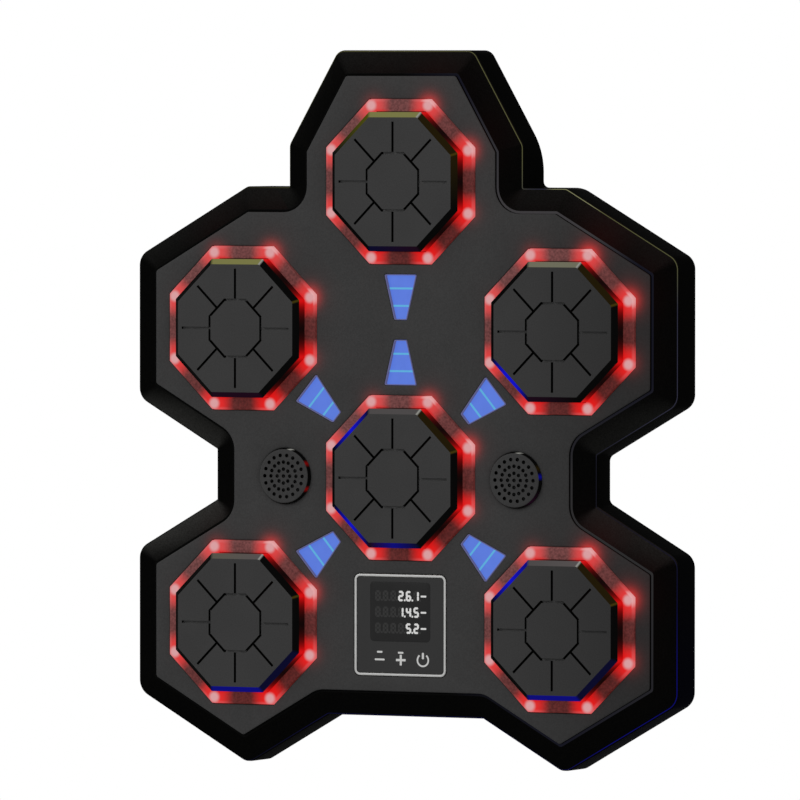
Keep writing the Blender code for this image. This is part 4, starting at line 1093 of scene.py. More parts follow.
def ring_light(colours):
    """Make the frosted red light guide: a pale spot over each light, red round it and dim between."""
    finish = Finish("red_light_guide", roughness=0.45, specular_ior_level=0.1, emission_strength=1.0)
    radius, angle = target_polar(finish)
    away = light_distance(radius, angle)
    across = radius * fold(angle / EIGHTH + 0.5).math("COSINE")
    grain, lean = finish.noise(0.0014, 3.0), leaning(angle, 125)
    deep = finish.tint(lean, rgb(TINTS["guide_deep"]), rgb(colours.red_dim))
    near = finish.tint(lean, rgb(TINTS["guide_red"]), rgb(TINTS["guide_pale"]))
    dim = finish.speckled(deep, grain.ramp(0.25, 0.75), 0.62, 1.32)
    light = finish.tint(away.ramp(0.0045, 0.0155), near, dim)
    rim = across.ramp(RING_HALF - 0.0022, RING_HALF - 0.0004) * 0.35
    light = finish.tint(rim * away.ramp(0.0160, 0.0040), light, rgb(TINTS["guide_rim"]))
    inner = across.ramp(RING_HALF - 0.0056, RING_HALF - 0.0078) * away.ramp(0.0160, 0.0060) * 0.6
    light = finish.tint(inner, light, rgb(TINTS["guide_inner"]))
    light = finish.tint(away.ramp(0.0050, 0.0018), light, rgb(colours.red_spot))
    # Painted highlight on the ring's outer corners, on the side towards the upper right.
    aim = (angle - math.radians(GLOW_SIDE)).math("COSINE").math("MAXIMUM", 0.0) ** 4.0
    corner = across.ramp(RING_HALF - 0.0020, RING_HALF - 0.0008) * away.ramp(0.0068, 0.0040) * aim
    light = finish.tint(corner * 0.6, light, rgb(TINTS["guide_corner"]))
    base = finish.tint(grain, rgb(colours.red, 0.02), rgb(colours.red, 0.05))
    finish.feed(base_color=base, emission_color=light, normal=finish.bump(grain, 0.00003, 0.4))
    return finish.material


def window_light(colours):
    """Make the frosted blue lens, clouded with deeper and paler blue."""
    finish = Finish("blue_light_lens", roughness=0.5, specular_ior_level=0.2, emission_strength=1.0)
    cloud, grain = finish.noise(0.006), finish.noise(0.0006)
    light = finish.tint(cloud, rgb(colours.blue, 0.93), rgb(colours.blue, 1.06))
    base = finish.tint(grain, rgb(colours.blue, 0.03), rgb(colours.blue, 0.06))
    finish.feed(base_color=base, emission_color=light, normal=finish.bump(grain, 0.00003, 0.4))
    return finish.material


def lit_plastic(name, size, own, light, roughness=0.5, specular=0.2):
    """Make a lit plastic: a noise of a size mixes its own two colours and the two of its light."""
    finish = Finish(name, roughness=roughness, specular_ior_level=specular, emission_strength=1.0)
    grain = finish.noise(size)
    finish.feed(base_color=finish.tint(grain, *own), emission_color=finish.tint(grain, *light))
    return finish.material


def bar_light(colours):
    """Make the cyan bars across the blue lens."""
    own, light = ([rgb(colours.cyan, share) for share in pair] for pair in ((0.03, 0.06), (0.95, 1.05)))
    return lit_plastic("cyan_light_bar", 0.0008, own, light)


def liner_light(colours):
    """Make the lens's frosted side walls, dim violet grey."""
    light = rgb((0.055, 0.055, 0.170)), rgb((0.085, 0.085, 0.215))
    return lit_plastic("window_liner", 0.0012, (rgb(colours.matt), rgb(colours.matt, 1.4)), light)


def sign_light(colours, name="lit_signs", share=1.0):
    """Make the light of the digits and key signs, or the faint painted glow that shows the unlit segments
    grey.
    """
    own = rgb((0.01, 0.01, 0.01)), rgb((0.014, 0.014, 0.014))
    light = rgb(colours.signs, share * 0.92), rgb(colours.signs, share * 1.08)
    return lit_plastic(name, 0.0012, own, light, 0.4, 0.1)


def silver():
    """Make the satin silver line round the panel."""
    finish = Finish("satin_silver", metallic=0.85)
    return finish.drift(finish.noise(0.0050, 3.0), (0.34, 0.34, 0.333), (0.39, 0.39, 0.383), 0.42, 0.08)


def panel_film():
    """Make the dark film over the touch keys."""
    finish = Finish("panel_film", specular_ior_level=0.12)
    return finish.drift(finish.noise(0.0006), grey(0.0200), grey(0.0248), 0.42, 0.08)


def smoked_lens():
    """Make the smoked lens over the display."""
    finish = Finish("smoked_lens", specular_ior_level=0.15)
    return finish.drift(finish.noise(0.010), grey(0.0066), grey(0.0092), 0.16, 0.06)


def steel():
    """Make bright drawn steel, streaked along the depth."""
    finish = Finish("bright_steel", metallic=1.0)
    streak = finish.noise(0.0016, 3.0, (1.0, 0.2, 1.0))
    return finish.drift(streak, grey(0.55 * 0.85), grey(0.55 * 1.1), 0.22, 0.20)


def inner_plastic():
    """Make the black plastic of the inner pieces, with paler dust."""
    finish = Finish("inner_black", specular_ior_level=0.3)
    return finish.drift(finish.noise(0.004, 4.0), grey(0.006), grey(0.022), 0.45, 0.2)


def cell_wrap():
    """Make the creased shrink wrap of the cell."""
    finish = Finish("cell_wrap", specular_ior_level=0.5)
    crease = finish.noise(0.006, 4.0, (1.0, 1.0, 4.0))
    finish.feed(normal=finish.bump(crease, 0.0002, 0.5))
    return finish.drift(crease, (0.035, 0.080, 0.200), (0.065, 0.140, 0.300), 0.25, 0.2)


def circuit_board():
    """Make a green board with paler tracks, and white lights in front of the light boards."""
    finish = Finish("circuit_board", specular_ior_level=0.5)
    sockets = {"Vector": finish.place(), "Scale": 260.0}
    cells = finish.add("ShaderNodeTexVoronoi", {"feature": "DISTANCE_TO_EDGE"}, sockets)
    track = cells.ramp(0.10, 0.04)
    green = finish.tint(track, rgb((0.010, 0.085, 0.030)), rgb((0.030, 0.180, 0.070)))
    light_height = 0.0010
    light = (-finish.axes(finish.place())[1]) > front_of("light_board_middle") - light_height
    finish.feed(base_color=finish.tint(light, green, rgb((0.75, 0.74, 0.66))), roughness=0.35 + 0.2 * track)
    return finish.material


FINISHES = {}


# Pieces

def post_places():
    """List the cover's screws: two at the top, one at each lobe's flank and two at the chin."""
    top = TOP_Z + TOP_APOTHEM - POST_INSET
    flank = COLUMN_X + SIDE_APOTHEM - POST_INSET
    right = [(POST_X, top), (flank, ROW_Z), (flank, -ROW_Z), (POST_X, -CHIN_Z + POST_INSET)]
    return right + [(-x, z) for x, z in right]


class MACHINE_OT_finishes(Operator):
    """Make the procedural finishes of all pieces"""

    bl_idname = "machine.finishes"
    bl_label = "Finishes"

    def execute(self, context):
        colours = context.scene.machine_colours
        FINISHES.update(
            matt=matt_grey(colours),
            plate=matt_grey(colours, "matt_grey_plate", lit=True),
            # The level grooves' grey, brightened as painted light that cancels their shade.
            floor=matt_grey(colours, "matt_grey_groove", share=2.3),
            cover=cover_plastic(colours),
            black=satin_black(colours),
            # Painted highlights along the housing's outer edge and its lip.
            edge=gloss_with_painted_reflections(colours, "polished_edge", angle_stops(EDGE_TINTS), middle_angle, 0.003),
            lip=gloss_with_painted_reflections(colours, "polished_lip", angle_stops(LIP_TINTS), middle_angle, 0.003),
            side=cap_side(colours),
            ring=ring_light(colours),
            window=window_light(colours),
            bar=bar_light(colours),
            liner=liner_light(colours),
            silver=silver(),
            film=panel_film(),
            lens=smoked_lens(),
            lit=sign_light(colours),
            sign=sign_light(colours, "key_signs", 0.80),
            # The unlit segments get a faint painted glow.
            unlit=sign_light(colours, "unlit_segments", 0.025),
            steel=steel(),
            board=circuit_board(),
            inner=inner_plastic(),
            wrap=cell_wrap(),
        )
        # The caps' sloping edges and the grilles' rims get painted reflections.
        for name in TARGET_NAMES:
            key = "gloss_" + name
            FINISHES[key] = gloss_with_painted_reflections(colours, key, cap_stops(name), target_angle)
        for side in SIDES:
            stops = angle_stops(RIM_TINTS[side])
            FINISHES["rim_" + side] = gloss_with_painted_reflections(colours, "speaker_rim_" + side, stops, speaker_angle)
        return {"FINISHED"}


class MACHINE_OT_housing(Operator):
    """Build the housing's shell with its side wall, sloping band and lip"""

    bl_idname = "machine.housing"
    bl_label = "Housing shell"

    def execute(self, context):
        sizes = context.scene.machine_housing
        lip, facets = sizes.lip_round, sizes.corner_facets
        slope = math.atan2(LIP_DEPTH - EDGE_DEPTH, BAND_WIDTH)
        edge = EDGE_ROUND / math.tan((math.pi / 2 - slope) / 2)      # radius whose arc starts that far back
        path = [
            (0.0, WALL_GAP, 0), (0.0, EDGE_DEPTH, edge), (BAND_WIDTH, LIP_DEPTH, lip),
            (BAND_WIDTH, LENS_DEPTH, 0), (BAND_WIDTH + LEDGE_WIDTH, LENS_DEPTH, 0),
        ]
        shape = bmesh.new()
        rings = [section(outline(inset, facets, depth), depth) for inset, depth in fillet(path, 5)]
        loft(shape, rings, caps=False)
        shell = piece_from("housing_shell", shape)
        wall = shell.modifiers.new("wall", "SOLIDIFY")
        wall.thickness, wall.offset, wall.use_even_offset = SHELL_WALL, -1.0, True
        shell = cut(plain(shell), self.socket_slot())
        # The outer edge's facet and the lip get painted highlights.
        finishes = [FINISHES[key] for key in ("black", "edge", "lip")]
        paint(shell, *finishes, choose=lambda face: self.finish_of(face, lip))
        seat(shade(shell, 35), "housing", "black_plastic", "surround_shell")
        ends = (COVER_THICK + GAP, EDGE_DEPTH - SHELL_WALL / 2)
        posts = tubes("screw_posts", post_places(), POST_RADII, ends, 24)
        seat(shade(paint(posts, FINISHES["inner"])), "housing", "black_plastic")
        return {"FINISHED"}

    @staticmethod
    def socket_slot():
        """Make what is cut out of the shell's bottom for the charging socket."""
        half_width, half_height, corner, lift = 0.0048, 0.0019, 0.0018, 0.0017
        depth = front_of("usb_socket") - lift
        points = rectangle(half_width, half_height, (0.0, 0.0), corner)
        shape = bmesh.new()
        ends = (-CHIN_Z - SHELL_WALL, -CHIN_Z + 2 * SHELL_WALL)
        loft(shape, [[Vector((p.x, p.y - depth, z)) for p in points] for z in ends])
        return piece_from("usb_slot", shape)

    @staticmethod
    def finish_of(face, lip):
        """Tell the facet of the outer edge and the lip, which get painted highlights, apart from the rest."""
        depth, forward = -face.center.y, -face.normal.y
        if EDGE_DEPTH - EDGE_ROUND + 0.0002 < depth < EDGE_DEPTH + 0.0004 and 0.65 < forward < 0.82:
            return 1
        return 2 if depth > LIP_DEPTH - 1.7 * lip and forward > 0.15 else 0


class MACHINE_OT_front_plate(Operator):
    """Build the flat front plate with all its openings"""

    bl_idname = "machine.front_plate"
    bl_label = "Front plate"

    def execute(self, context):
        sizes = context.scene.machine_housing
        gap, facets = sizes.plate_gap, sizes.corner_facets
        makers = [lambda move: outline(BAND_WIDTH + gap + move, facets)]
        for centre in TARGETS.values():
            makers.append(lambda move, centre=centre: octagon(RING_HALF + gap + move, 0.0008, centre))
        for name in WINDOW_NAMES:
            makers.append(lambda move, name=name: window_at(name, move))
        for side in SIDES:
            centre = centre_of("speaker_grille_" + side)
            makers.append(lambda move, centre=centre: circle(GRILLE_RADIUS + gap + move, centre))
        hole, corner = PANEL_HALF + gap, PANEL_CORNER + gap
        makers.append(lambda move: rectangle(hole + move, hole + move, PANEL, corner + move))
        plate = flat_piece("plate", makers, PLATE_BACK, PLATE_DEPTH, sizes.plate_round)
        # The plate's upright walls, round its outline and its openings, are painted black as shade.
        finishes = FINISHES["plate"], FINISHES["black"]
        paint(plate, *finishes, choose=lambda face: 0 if is_front(face, 0.4) else 1)
        seat(shade(plate, 40), "housing", "matt_grey_plastic", "front_plate")
        return {"FINISHED"}


class MACHINE_OT_back_cover(Operator):
    """Build the back cover with its keyholes, screw recesses and guide tubes, and its screws"""

    bl_idname = "machine.back_cover"
    bl_label = "Back cover and screws"

    def execute(self, context):
        sizes = context.scene.machine_housing
        inset, places = SHELL_WALL + GAP, post_places()
        makers = [lambda move: outline(inset + move, sizes.corner_facets, COVER_THICK, WALL_GAP)]
        makers += [lambda move, x=x: self.keyhole(x, move) for x in (-KEYHOLE_X, KEYHOLE_X)]
        cover = flat_piece("cover", makers, 0.0, COVER_THICK, back_round=sizes.rim_round)
        drill = perforation_recipe()
        through = 0.010
        for name, radius, run in (("screw_holes", SCREW_HOLE, through),
                                  ("screw_recesses", SCREW_RECESS, 2 * RECESS_DEPTH)):
            spots = markers(name, places, 0.0)
            values = {"radius": radius, "length": run, "sides": 32, "material": FINISHES["black"]}
            cover = use_recipe(cover, drill, places=spots, **values)
            bpy.data.objects.remove(spots)
        finishes = FINISHES["cover"], FINISHES["black"]
        paint(cover, *finishes, choose=lambda face: 0 if face.normal.y > 0.2 else 1)
        seat(shade(cover), "housing", "black_plastic", "back_cover")
        guides = tubes("guide_tubes", TARGETS.values(), GUIDE_RADII, (COVER_THICK, COIL_BACK - GAP), 48)
        seat(shade(paint(guides, FINISHES["inner"])), "housing", "black_plastic")
        head_back, tip = back_of("case_screw_1"), front_of("case_screw_1")
        points = markers("screws", places, head_back + HEAD_HEIGHT / 2)
        values = {"head_radius": HEAD_RADIUS, "head_height": HEAD_HEIGHT, "shank_radius": SHANK_RADIUS,
                  "length": tip - head_back - HEAD_HEIGHT / 2, "material": FINISHES["steel"]}
        screws = use_recipe(points, screw_recipe(), **values)
        nodes = ["case_screw_%d" % (i + 1) for i in range(len(places))]
        seat(shade(paint(screws, FINISHES["steel"])), "housing", "steel", *nodes)
        return {"FINISHED"}

    @staticmethod
    def keyhole(x, move):
        """Give a keyhole's edge: a round entry with a narrower slot above it."""
        entry, slot, base, top = 0.0050 + move, 0.0025 + move, 0.1200, 0.1310
        meet = math.asin(slot / entry)
        sweep = 2 * math.pi - 2 * meet
        low = [math.pi / 2 + meet + sweep * i / 40 for i in range(41)]
        high = [math.pi * i / 16 for i in range(17)]
        points = [Vector((x + entry * math.cos(a), base + entry * math.sin(a))) for a in low]
        return points + [Vector((x + slot * math.cos(a), top + slot * math.sin(a))) for a in high]


class MACHINE_OT_targets(Operator):
    """Build the sprung target caps with their grooves, and the springs behind them"""

    bl_idname = "machine.targets"
    bl_label = "Target caps and springs"

    def execute(self, context):
        sizes = context.scene.machine_targets
        soft, steel_finish = sizes.edge_round, FINISHES["steel"]
        face, inner = SKIRT_HALF - sizes.chamfer, SKIRT_HALF - CAP_WALL
        under = CAP_DEPTH - CAP_ROOF
        collar_inner, collar_outer = COLLAR_HALVES
        collar_back = under - COLLAR_LENGTH
        flange_front = RING_SEAT - GAP
        flange_back = flange_front - CAP_FLANGE_THICK
        path = [
            (face - 0.002, CAP_DEPTH, 0), (face, CAP_DEPTH, soft),
            (SKIRT_HALF, CAP_DEPTH - sizes.chamfer, soft), (SKIRT_HALF, flange_front, 0),
            (SKIRT_HALF + CAP_FLANGE, flange_front, 0), (SKIRT_HALF + CAP_FLANGE, flange_back, 0),
            (inner, flange_back, 0), (inner, under, 0.001),
            (collar_outer, under, 0), (collar_outer, collar_back, 0), (collar_inner, collar_back, 0),
            (collar_inner, under, 0), (STEM_HALF, under, 0), (STEM_HALF, STEM_DEPTH, 0),
        ]
        shape = bmesh.new()
        loft(shape, [section(octagon(half, 0.0005), depth) for half, depth in fillet(path, 3)])
        values = {"half": sizes.groove_half, "outer": face - sizes.groove_margin, "width": sizes.groove_width,
                  "depth": sizes.groove_depth, "face": CAP_DEPTH, "material": FINISHES["matt"]}
        cap = use_recipe(piece_from("cap", shape), groove_recipe(), **values)
        coil, run = coil_recipe(), COIL_FRONT - COIL_BACK
        for name, centre in TARGETS.items():
            made = copy_to(cap, "cap_" + name, centre)
            # The grooves' brightened grey is painted light and their black is painted shade; the sides and
            # sloping edges get painted glow and reflections.
            finishes = [FINISHES[key] for key in ("matt", "floor", "black", "side", "gloss_" + name)]
            paint(made, *finishes, choose=lambda face, centre=centre: self.finish_of(face, centre, sizes))
            seat(shade(made, 50), "target_" + name, "matt_grey_plastic", "target_cap_" + name)
            points = markers("coil_" + name, [centre], COIL_BACK)
            values = {"turns": float(sizes.coil_turns), "radius": COIL_RADIUS, "wire": WIRE, "height": run,
                      "material": steel_finish}
            spring = shade(paint(use_recipe(points, coil, **values), steel_finish), 60)
            seat(spring, "housing", "steel", "return_spring_" + name)
            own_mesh(spring)
        bpy.data.objects.remove(cap)
        return {"FINISHED"}

    @staticmethod
    def finish_of(face, centre, sizes):
        """Tell a cap's front, its grooves' floors and walls, its upright sides and its sloping edge apart.

        The floors and walls of the level grooves get a brightened grey, painted light against their shade,
        and the other grooves are painted black as shade.
        """
        x, z, depth = face.center.x - centre[0], face.center.z - centre[1], -face.center.y
        if is_front(face):
            level = abs(z) < 0.0012 or (abs(x) < 0.0015 and abs(z) < sizes.groove_half + 0.001)
            return 0 if depth > CAP_DEPTH - 0.0001 else (1 if level else 2)
        turns = [EIGHTH * i for i in range(OCTAGON)]
        across = max(x * math.cos(a) + z * math.sin(a) for a in turns)
        if across < SKIRT_HALF - sizes.chamfer - 0.0008:
            return 1 if abs(face.normal.z) > 0.95 else 2
        return 4 if -face.normal.y > 0.2 else 3


class MACHINE_OT_light_rings(Operator):
    """Build the octagonal light guides round the targets"""

    bl_idname = "machine.light_rings"
    bl_label = "Light rings"

    def execute(self, context):
        sizes = context.scene.machine_targets
        inner, outer, wall = RING_HALF - sizes.ring_width, RING_HALF + RING_SKIRT, 0.001
        path = [
            (inner + 0.001, RING_DEPTH, 0), (RING_HALF, RING_DEPTH, sizes.ring_round),
            (RING_HALF, LENS_DEPTH, 0), (outer, LENS_DEPTH, 0), (outer, SKIRT_DEPTH, 0),
            (outer - wall, SKIRT_DEPTH, 0), (outer - wall, RING_SEAT, 0), (inner, RING_SEAT, 0),
            (inner, RING_DEPTH, 0.0003), (inner + 0.0009, RING_DEPTH, 0),
        ]
        for name, centre in TARGETS.items():
            shape = bmesh.new()
            rings = [section(octagon(half, 0.0008, centre), depth) for half, depth in fillet(path)]
            loft(shape, rings, closed=True)
            ring = shade(paint(piece_from("ring_" + name, shape), FINISHES["ring"]), 40)
            seat(ring, "housing", "red_light_guide", "light_ring_" + name)
        return {"FINISHED"}


class MACHINE_OT_light_windows(Operator):
    """Build the blue windows: lens, cyan bars and frosted side walls"""

    bl_idname = "machine.light_windows"
    bl_label = "Light windows"

    def execute(self, context):
        flare = (WINDOW_WIDE - WINDOW_NARROW) / WINDOW_LENGTH
        thick, proud, bar_width, corner = 0.0020, 0.0003, 0.0013, 0.0002
        for name in WINDOW_NAMES:
            place, angle = window_place(name)
            turn = Matrix.Rotation(angle, 2)
            border = [lambda move, name=name: window_at(name, WINDOW_BORDER - move)]
            lens = flat_piece("lens_" + name, border, LENS_DEPTH - thick, LENS_DEPTH)
            seat(paint(lens, FINISHES["window"]), "housing", "blue_light_window", "light_window_" + name)
            liner = [lambda move, name=name: window_at(name, -GAP / 3 - move),
                     lambda move, name=name: window_at(name, -2 * GAP + move)]
            walls = flat_piece("liner_" + name, liner, LENS_DEPTH, PLATE_DEPTH - GAP)
            seat(paint(walls, FINISHES["liner"]), "housing", "blue_light_window")
            shape = bmesh.new()
            for along in (WINDOW_BAR_MARGIN, WINDOW_LENGTH - WINDOW_BAR_MARGIN):
                half = (WINDOW_NARROW + flare * along) / 2 - 2 * GAP
                bar = [p + Vector((0.0, along)) for p in rectangle(half, bar_width / 2, (0, 0), corner)]
                loop = [turn @ p + place for p in bar]
                loft(shape, [section(loop, LENS_DEPTH), section(loop, LENS_DEPTH + proud)])
            bars = piece_from("bars_" + name, shape)
            seat(paint(bars, FINISHES["bar"]), "housing", "blue_light_window")
        return {"FINISHED"}


class MACHINE_OT_speakers(Operator):
    """Build the raised round speaker grilles with their rings of holes"""

    bl_idname = "machine.speakers"
    bl_label = "Speaker grilles"

    def execute(self, context):
        radius, outer, inner = GRILLE_RADIUS, GRILLE_RADIUS + GRILLE_FLANGE, GRILLE_RADIUS - 0.0015
        face, under, flange_back = GRILLE_DEPTH, GRILLE_DEPTH - 0.0015, LENS_DEPTH - 0.0012
        path = [
            (radius - 0.002, face, 0), (radius, face, 0.0010), (radius, LENS_DEPTH, 0),
            (outer, LENS_DEPTH, 0), (outer, flange_back, 0), (inner, flange_back, 0), (inner, under, 0),
            (radius - 0.002, under, 0),
        ]
        holes = []
        for reach, count in HOLE_CIRCLES:
            holes += circle(reach, steps=count)
        drill = perforation_recipe()
        for side in SIDES:
            centre = centre_of("speaker_grille_" + side)
            shape = bmesh.new()
            loft(shape, [section(circle(r, centre, 96), depth) for r, depth in fillet(path)])
            places = markers("holes", [p + centre for p in holes], face)
            values = {"radius": HOLE_RADIUS, "length": DRILL_LENGTH, "sides": 20,
                      "material": FINISHES["matt"]}
            grille = use_recipe(piece_from("grille_" + side, shape), drill, places=places, **values)
            bpy.data.objects.remove(places)
            # The rim gets painted reflections, and the holes' walls are painted black as shade.
            finishes = [FINISHES[key] for key in ("matt", "rim_" + side, "black")]
            paint(grille, *finishes, choose=lambda face, centre=centre: self.finish_of(face, centre))
            seat(shade(grille), "housing", "matt_grey_plastic", "speaker_grille_" + side)
        return {"FINISHED"}

    @staticmethod
    def finish_of(face, centre):
        """Tell a grille's front, its rim with painted reflections and the walls of its holes, painted black
        as shade, apart.
        """
        if is_front(face, 0.6):
            return 0
        reach = math.hypot(face.center.x - centre[0], face.center.z - centre[1])
        return 1 if reach > GRILLE_RADIUS - 0.0013 else 2


# Seven-segment digits: for each segment, the digit's corners that it joins, and the digits' lit segments
SEGMENTS = {
    "top": ((0, 2), (1, 2)), "upper_right": ((1, 1), (1, 2)), "lower_right": ((1, 0), (1, 1)),
    "bottom": ((0, 0), (1, 0)), "lower_left": ((0, 0), (0, 1)), "upper_left": ((0, 1), (0, 2)),
    "middle": ((0, 1), (1, 1)),
}
LIT = {
    "1": ("upper_right", "lower_right"),
    "2": ("top", "upper_right", "middle", "lower_left", "bottom"),
    "4": ("upper_left", "middle", "upper_right", "lower_right"),
    "5": ("top", "upper_left", "middle", "lower_right", "bottom"),
    "6": ("top", "upper_left", "middle", "lower_left", "bottom", "lower_right"),
    " ": (),
}
ROWS = (("   261", (3, 4)), ("   145", (3, 4)), ("    52", (4,)))     # digits, and cells with a lit point


class MACHINE_OT_control_panel(Operator):
    """Build the panel: silver line, key film and signs, smoked lens and its digits"""

    bl_idname = "machine.control_panel"
    bl_label = "Control panel"

    def execute(self, context):
        half, line_half = PANEL_HALF, PANEL_HALF - SILVER_WIDTH
        film_half, film_corner = half_of("key_film"), PANEL_CORNER - SILVER_WIDTH
        makers = [lambda move: rectangle(half - move, half - move, PANEL, PANEL_CORNER - move),
                  lambda move: rectangle(line_half + move, line_half + move, PANEL, film_corner + move)]
        line = flat_piece("silver_line", makers, back_of("panel_frame"), front_of("panel_frame"), 0.0003)
        seat(shade(paint(line, FINISHES["silver"])), "housing", "silver_trim", "panel_frame")
        low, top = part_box("display_lens")
        wide, high, corner, slit = (top.x - low.x) / 2, (top.z - low.z) / 2, 0.0023, GAP / 3
        makers = [lambda move: rectangle(film_half - move, film_half - move, PANEL, film_corner - GAP),
                  lambda move: rectangle(wide + slit + move, high + slit + move, DISPLAY, corner + GAP)]
        film = flat_piece("film", makers, back_of("key_film"), FILM_DEPTH)
        seat(paint(film, FINISHES["film"]), "housing", "panel_film", "key_film")
        makers = [lambda move: rectangle(wide - move, high - move, DISPLAY, corner)]
        ends = back_of("display_lens"), front_of("display_lens")
        lens = flat_piece("display_window", makers, *ends, 0.0001)
        seat(shade(paint(lens, FINISHES["lens"])), "housing", "smoked_lens", "display_lens")
        self.digits()
        self.signs()
        return {"FINISHED"}

    @staticmethod
    def print_piece(name, loops, depth, finish, slot):
        """Make thin printed shapes that stand just proud of a depth."""
        shape = bmesh.new()
        for loop in loops:
            loft(shape, [section(loop, depth), section(loop, depth + PRINT_HEIGHT)])
        return seat(paint(piece_from(name, shape), FINISHES[finish]), "housing", slot)

    def digits(self):
        """Set the three rows of digits, lit and unlit, each with its dash at the right."""
        wide, high, stroke = 0.0026, 0.0055, 0.0014
        first, pitch, dash = -0.0163, 0.00558, 0.0169
        point_half, point_gap, rows_z = 0.0006, 0.0015, (-0.0773, -0.0879, -0.0985)
        lit, unlit = [], []
        for (text, points), z in zip(ROWS, rows_z):
            for cell, mark in enumerate(text):
                base = Vector((first + pitch * cell - wide / 2, z - high / 2))
                for name, ends in SEGMENTS.items():
                    start, end = (base + Vector((x * wide, y * high / 2)) for x, y in ends)
                    (lit if name in LIT[mark] else unlit).append(self.segment(start, end, stroke))
                spot = base + Vector((wide + point_gap, 0.0))
                (lit if cell in points else unlit).append(rounded(regular(4, point_half, spot), 0.0002))
            lit.append(rectangle(0.0020, point_half, (dash, z), 0.0003))
        depth = front_of("display_lens")
        self.print_piece("lit_digits", lit, depth, "lit", "smoked_lens")
        self.print_piece("unlit_digits", unlit, depth - PRINT_HEIGHT / 2, "unlit", "smoked_lens")

    @staticmethod
    def segment(start, end, stroke):
        """Give a segment's hexagon between two corners of a digit."""
        way = (end - start).normalized()
        across = Vector((-way.y, way.x)) * stroke / 2
        lead = way * stroke * 0.25
        trim = -way * stroke * 0.15
        return [start + trim, start + lead - across, end - lead - across, end - trim,
                end - lead + across, start + lead + across]

    def signs(self):
        """Print the minus, plus and power signs of the touch keys, and the dashes over the first two."""
        end = 0.0005
        dashes = ((0.0036, 0.00060, -0.0150, -0.1192), (0.0020, 0.00062, -0.0150, -0.1142),
                  (0.0020, 0.00062, 0.0003, -0.1145))
        shapes = [rectangle(half, half_height, (x, z), end) for half, half_height, x, z in dashes]
        plus, arm, half = Vector((0.0004, -0.1193)), 0.0035, 0.00075
        corner = [Vector(p) for p in ((arm, -half), (arm, half), (half, half))]
        shapes.append([plus + Matrix.Rotation(math.pi / 2 * i, 2) @ p for i in range(4) for p in corner])
        power, outer, inner = Vector((0.0165, -0.11905)), 0.0045, 0.0045 - 0.0011
        opening, steps = math.radians(38), 40
        sweep = 2 * math.pi - 2 * opening
        spokes = [math.pi / 2 + opening + sweep * i / steps for i in range(steps + 1)]
        spokes = [Vector((math.cos(a), math.sin(a))) for a in spokes]
        shapes.append([power + outer * s for s in spokes] + [power + inner * s for s in reversed(spokes)])
        stem = power + Vector((0.0, 0.0028))
        shapes.append(rectangle(0.00075, 0.0021, stem, end))
        self.print_piece("key_signs", shapes, FILM_DEPTH, "sign", "panel_film")


class MACHINE_OT_inner_parts(Operator):
    """Give the pieces inside the housing their finishes"""

    bl_idname = "machine.inner_parts"
    bl_label = "Inner parts"

    def execute(self, context):
        blacks = ["strike_switch_" + name for name in TARGET_NAMES]
        blacks += ["speaker_driver_" + side for side in SIDES] + ["display_module"]
        boards = ["light_board_" + name for name in TARGET_NAMES] + ["key_board", "main_board"]
        chosen = {"board": boards, "inner": blacks, "wrap": ["battery"], "steel": ["usb_socket"]}
        for finish, nodes in chosen.items():
            for node in nodes:
                paint(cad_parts[node], FINISHES[finish])
        return {"FINISHED"}


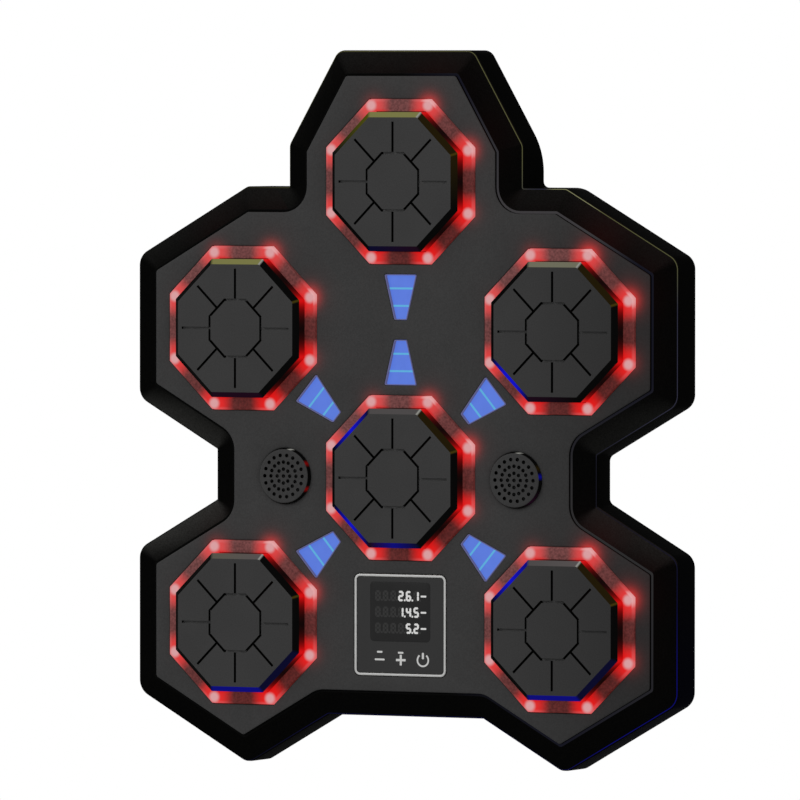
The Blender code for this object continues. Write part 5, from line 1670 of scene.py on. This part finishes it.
class MACHINE_OT_stage(Operator):
    """Set the pale floor, the soft lights, the white surroundings and the camera"""

    bl_idname = "machine.stage"
    bl_label = "Stage"

    def execute(self, context):
        scene = context.scene
        scene.view_settings.view_transform = "Standard"
        self.surroundings(scene)
        self.floor()
        for name, (place, power) in LAMPS.items():
            self.lamp(name, place, power)
        self.camera(scene)
        return {"FINISHED"}

    @staticmethod
    def surroundings(scene):
        """Light the object evenly, and show white behind it and in what is glossy."""
        world = bpy.data.worlds.new("surroundings")
        world.use_nodes = True
        scene.world = world
        graph = Graph(world.node_tree)
        graph.tree.nodes.clear()
        light, white = (graph.add("ShaderNodeBackground", None, {"Color": rgb(WHITE), "Strength": strength})
                        for strength in (SKY_STRENGTH, 1.0))
        rays = graph.add("ShaderNodeLightPath")
        seen = rays.out("Is Camera Ray") + rays.out("Is Glossy Ray") + rays.out("Is Transmission Ray")
        sky = graph.add("ShaderNodeMixShader", None, {0: seen.clamp(), 1: light, 2: white})
        graph.add("ShaderNodeOutputWorld", None, {"Surface": sky})

    @staticmethod
    def floor():
        """Lay a pale floor below the hanging object."""
        shape = bmesh.new()
        place = Matrix.Translation((0.0, 0.0, FLOOR_Z))
        bmesh.ops.create_circle(shape, cap_ends=True, radius=FLOOR_RADIUS, segments=96, matrix=place)
        mesh = bpy.data.meshes.new("floor")
        shape.to_mesh(mesh)
        shape.free()
        finish = Finish("pale_floor", specular_ior_level=0.2, roughness=0.8, base_color=rgb(WHITE, 0.86))
        paint(link("floor", mesh), finish.material)

    @staticmethod
    def lamp(name, place, power):
        """Hang a soft lamp that looks at the object."""
        light = bpy.data.lights.new(name, "AREA")
        light.shape, light.size, light.size_y, light.energy = "RECTANGLE", LAMP_SIZE, LAMP_SIZE, power
        obj = link(name, light)
        obj.location = place
        obj.rotation_euler = (LAMP_TARGET - Vector(place)).to_track_quat("-Z", "Y").to_euler()
        obj.visible_camera = False

    @staticmethod
    def camera(scene):
        """Set the camera at the picture's viewing angle."""
        azimuth, elevation, roll = CAMERA_AZIMUTH, CAMERA_ELEVATION, CAMERA_ROLL
        back = Vector((math.sin(azimuth) * math.cos(elevation), -math.cos(azimuth) * math.cos(elevation),
                       math.sin(elevation)))
        right = Vector((math.cos(azimuth), math.sin(azimuth), 0.0))
        up = back.cross(right)
        right, up = right * math.cos(roll) + up * math.sin(roll), up * math.cos(roll) - right * math.sin(roll)
        data = bpy.data.cameras.new("camera")
        data.sensor_width = SENSOR
        data.lens = SENSOR * FOCAL_PIXELS / PICTURE_SIZE
        data.clip_end = 100.0
        camera = link("camera", data)
        turn = Matrix((right, up, back)).transposed().to_4x4()
        camera.matrix_world = Matrix.Translation(CAMERA_TARGET + back * CAMERA_DISTANCE) @ turn
        scene.camera = camera


class MACHINE_PT_panel(Panel):
    """Lists the steps and settings in the sidebar"""

    bl_label = "Punch machine"
    bl_space_type = "VIEW_3D"
    bl_region_type = "UI"
    bl_category = "Punch machine"

    def draw(self, context):
        for step in STEPS:
            self.layout.operator(step.bl_idname)
        for group_name in GROUPS:
            group = getattr(context.scene, group_name)
            for name in group.bl_rna.properties.keys():
                if name not in {"rna_type", "name"}:
                    self.layout.prop(group, name)


STEPS = (
    MACHINE_OT_finishes, MACHINE_OT_housing, MACHINE_OT_front_plate, MACHINE_OT_back_cover,
    MACHINE_OT_targets, MACHINE_OT_light_rings, MACHINE_OT_light_windows, MACHINE_OT_speakers,
    MACHINE_OT_control_panel, MACHINE_OT_inner_parts, MACHINE_OT_stage,
)
GROUPS = {
    "machine_housing": HousingSettings, "machine_targets": TargetSettings, "machine_colours": ColourSettings,
}


def register():
    """Register the settings, the steps and the panel."""
    for kind in (*GROUPS.values(), *STEPS, MACHINE_PT_panel):
        bpy.utils.register_class(kind)
    for name, kind in GROUPS.items():
        setattr(bpy.types.Scene, name, PointerProperty(type=kind))


def unregister():
    """Take the settings, the steps and the panel away again."""
    for name in GROUPS:
        delattr(bpy.types.Scene, name)
    for kind in reversed((*GROUPS.values(), *STEPS, MACHINE_PT_panel)):
        bpy.utils.unregister_class(kind)


def main():
    """Build everything."""
    register()
    bpy.ops.machine.finishes()
    bpy.ops.machine.housing()
    bpy.ops.machine.front_plate()
    bpy.ops.machine.back_cover()
    bpy.ops.machine.targets()
    bpy.ops.machine.light_rings()
    bpy.ops.machine.light_windows()
    bpy.ops.machine.speakers()
    bpy.ops.machine.control_panel()
    bpy.ops.machine.inner_parts()
    bpy.ops.machine.stage()


if __name__ == "__main__":
    main()
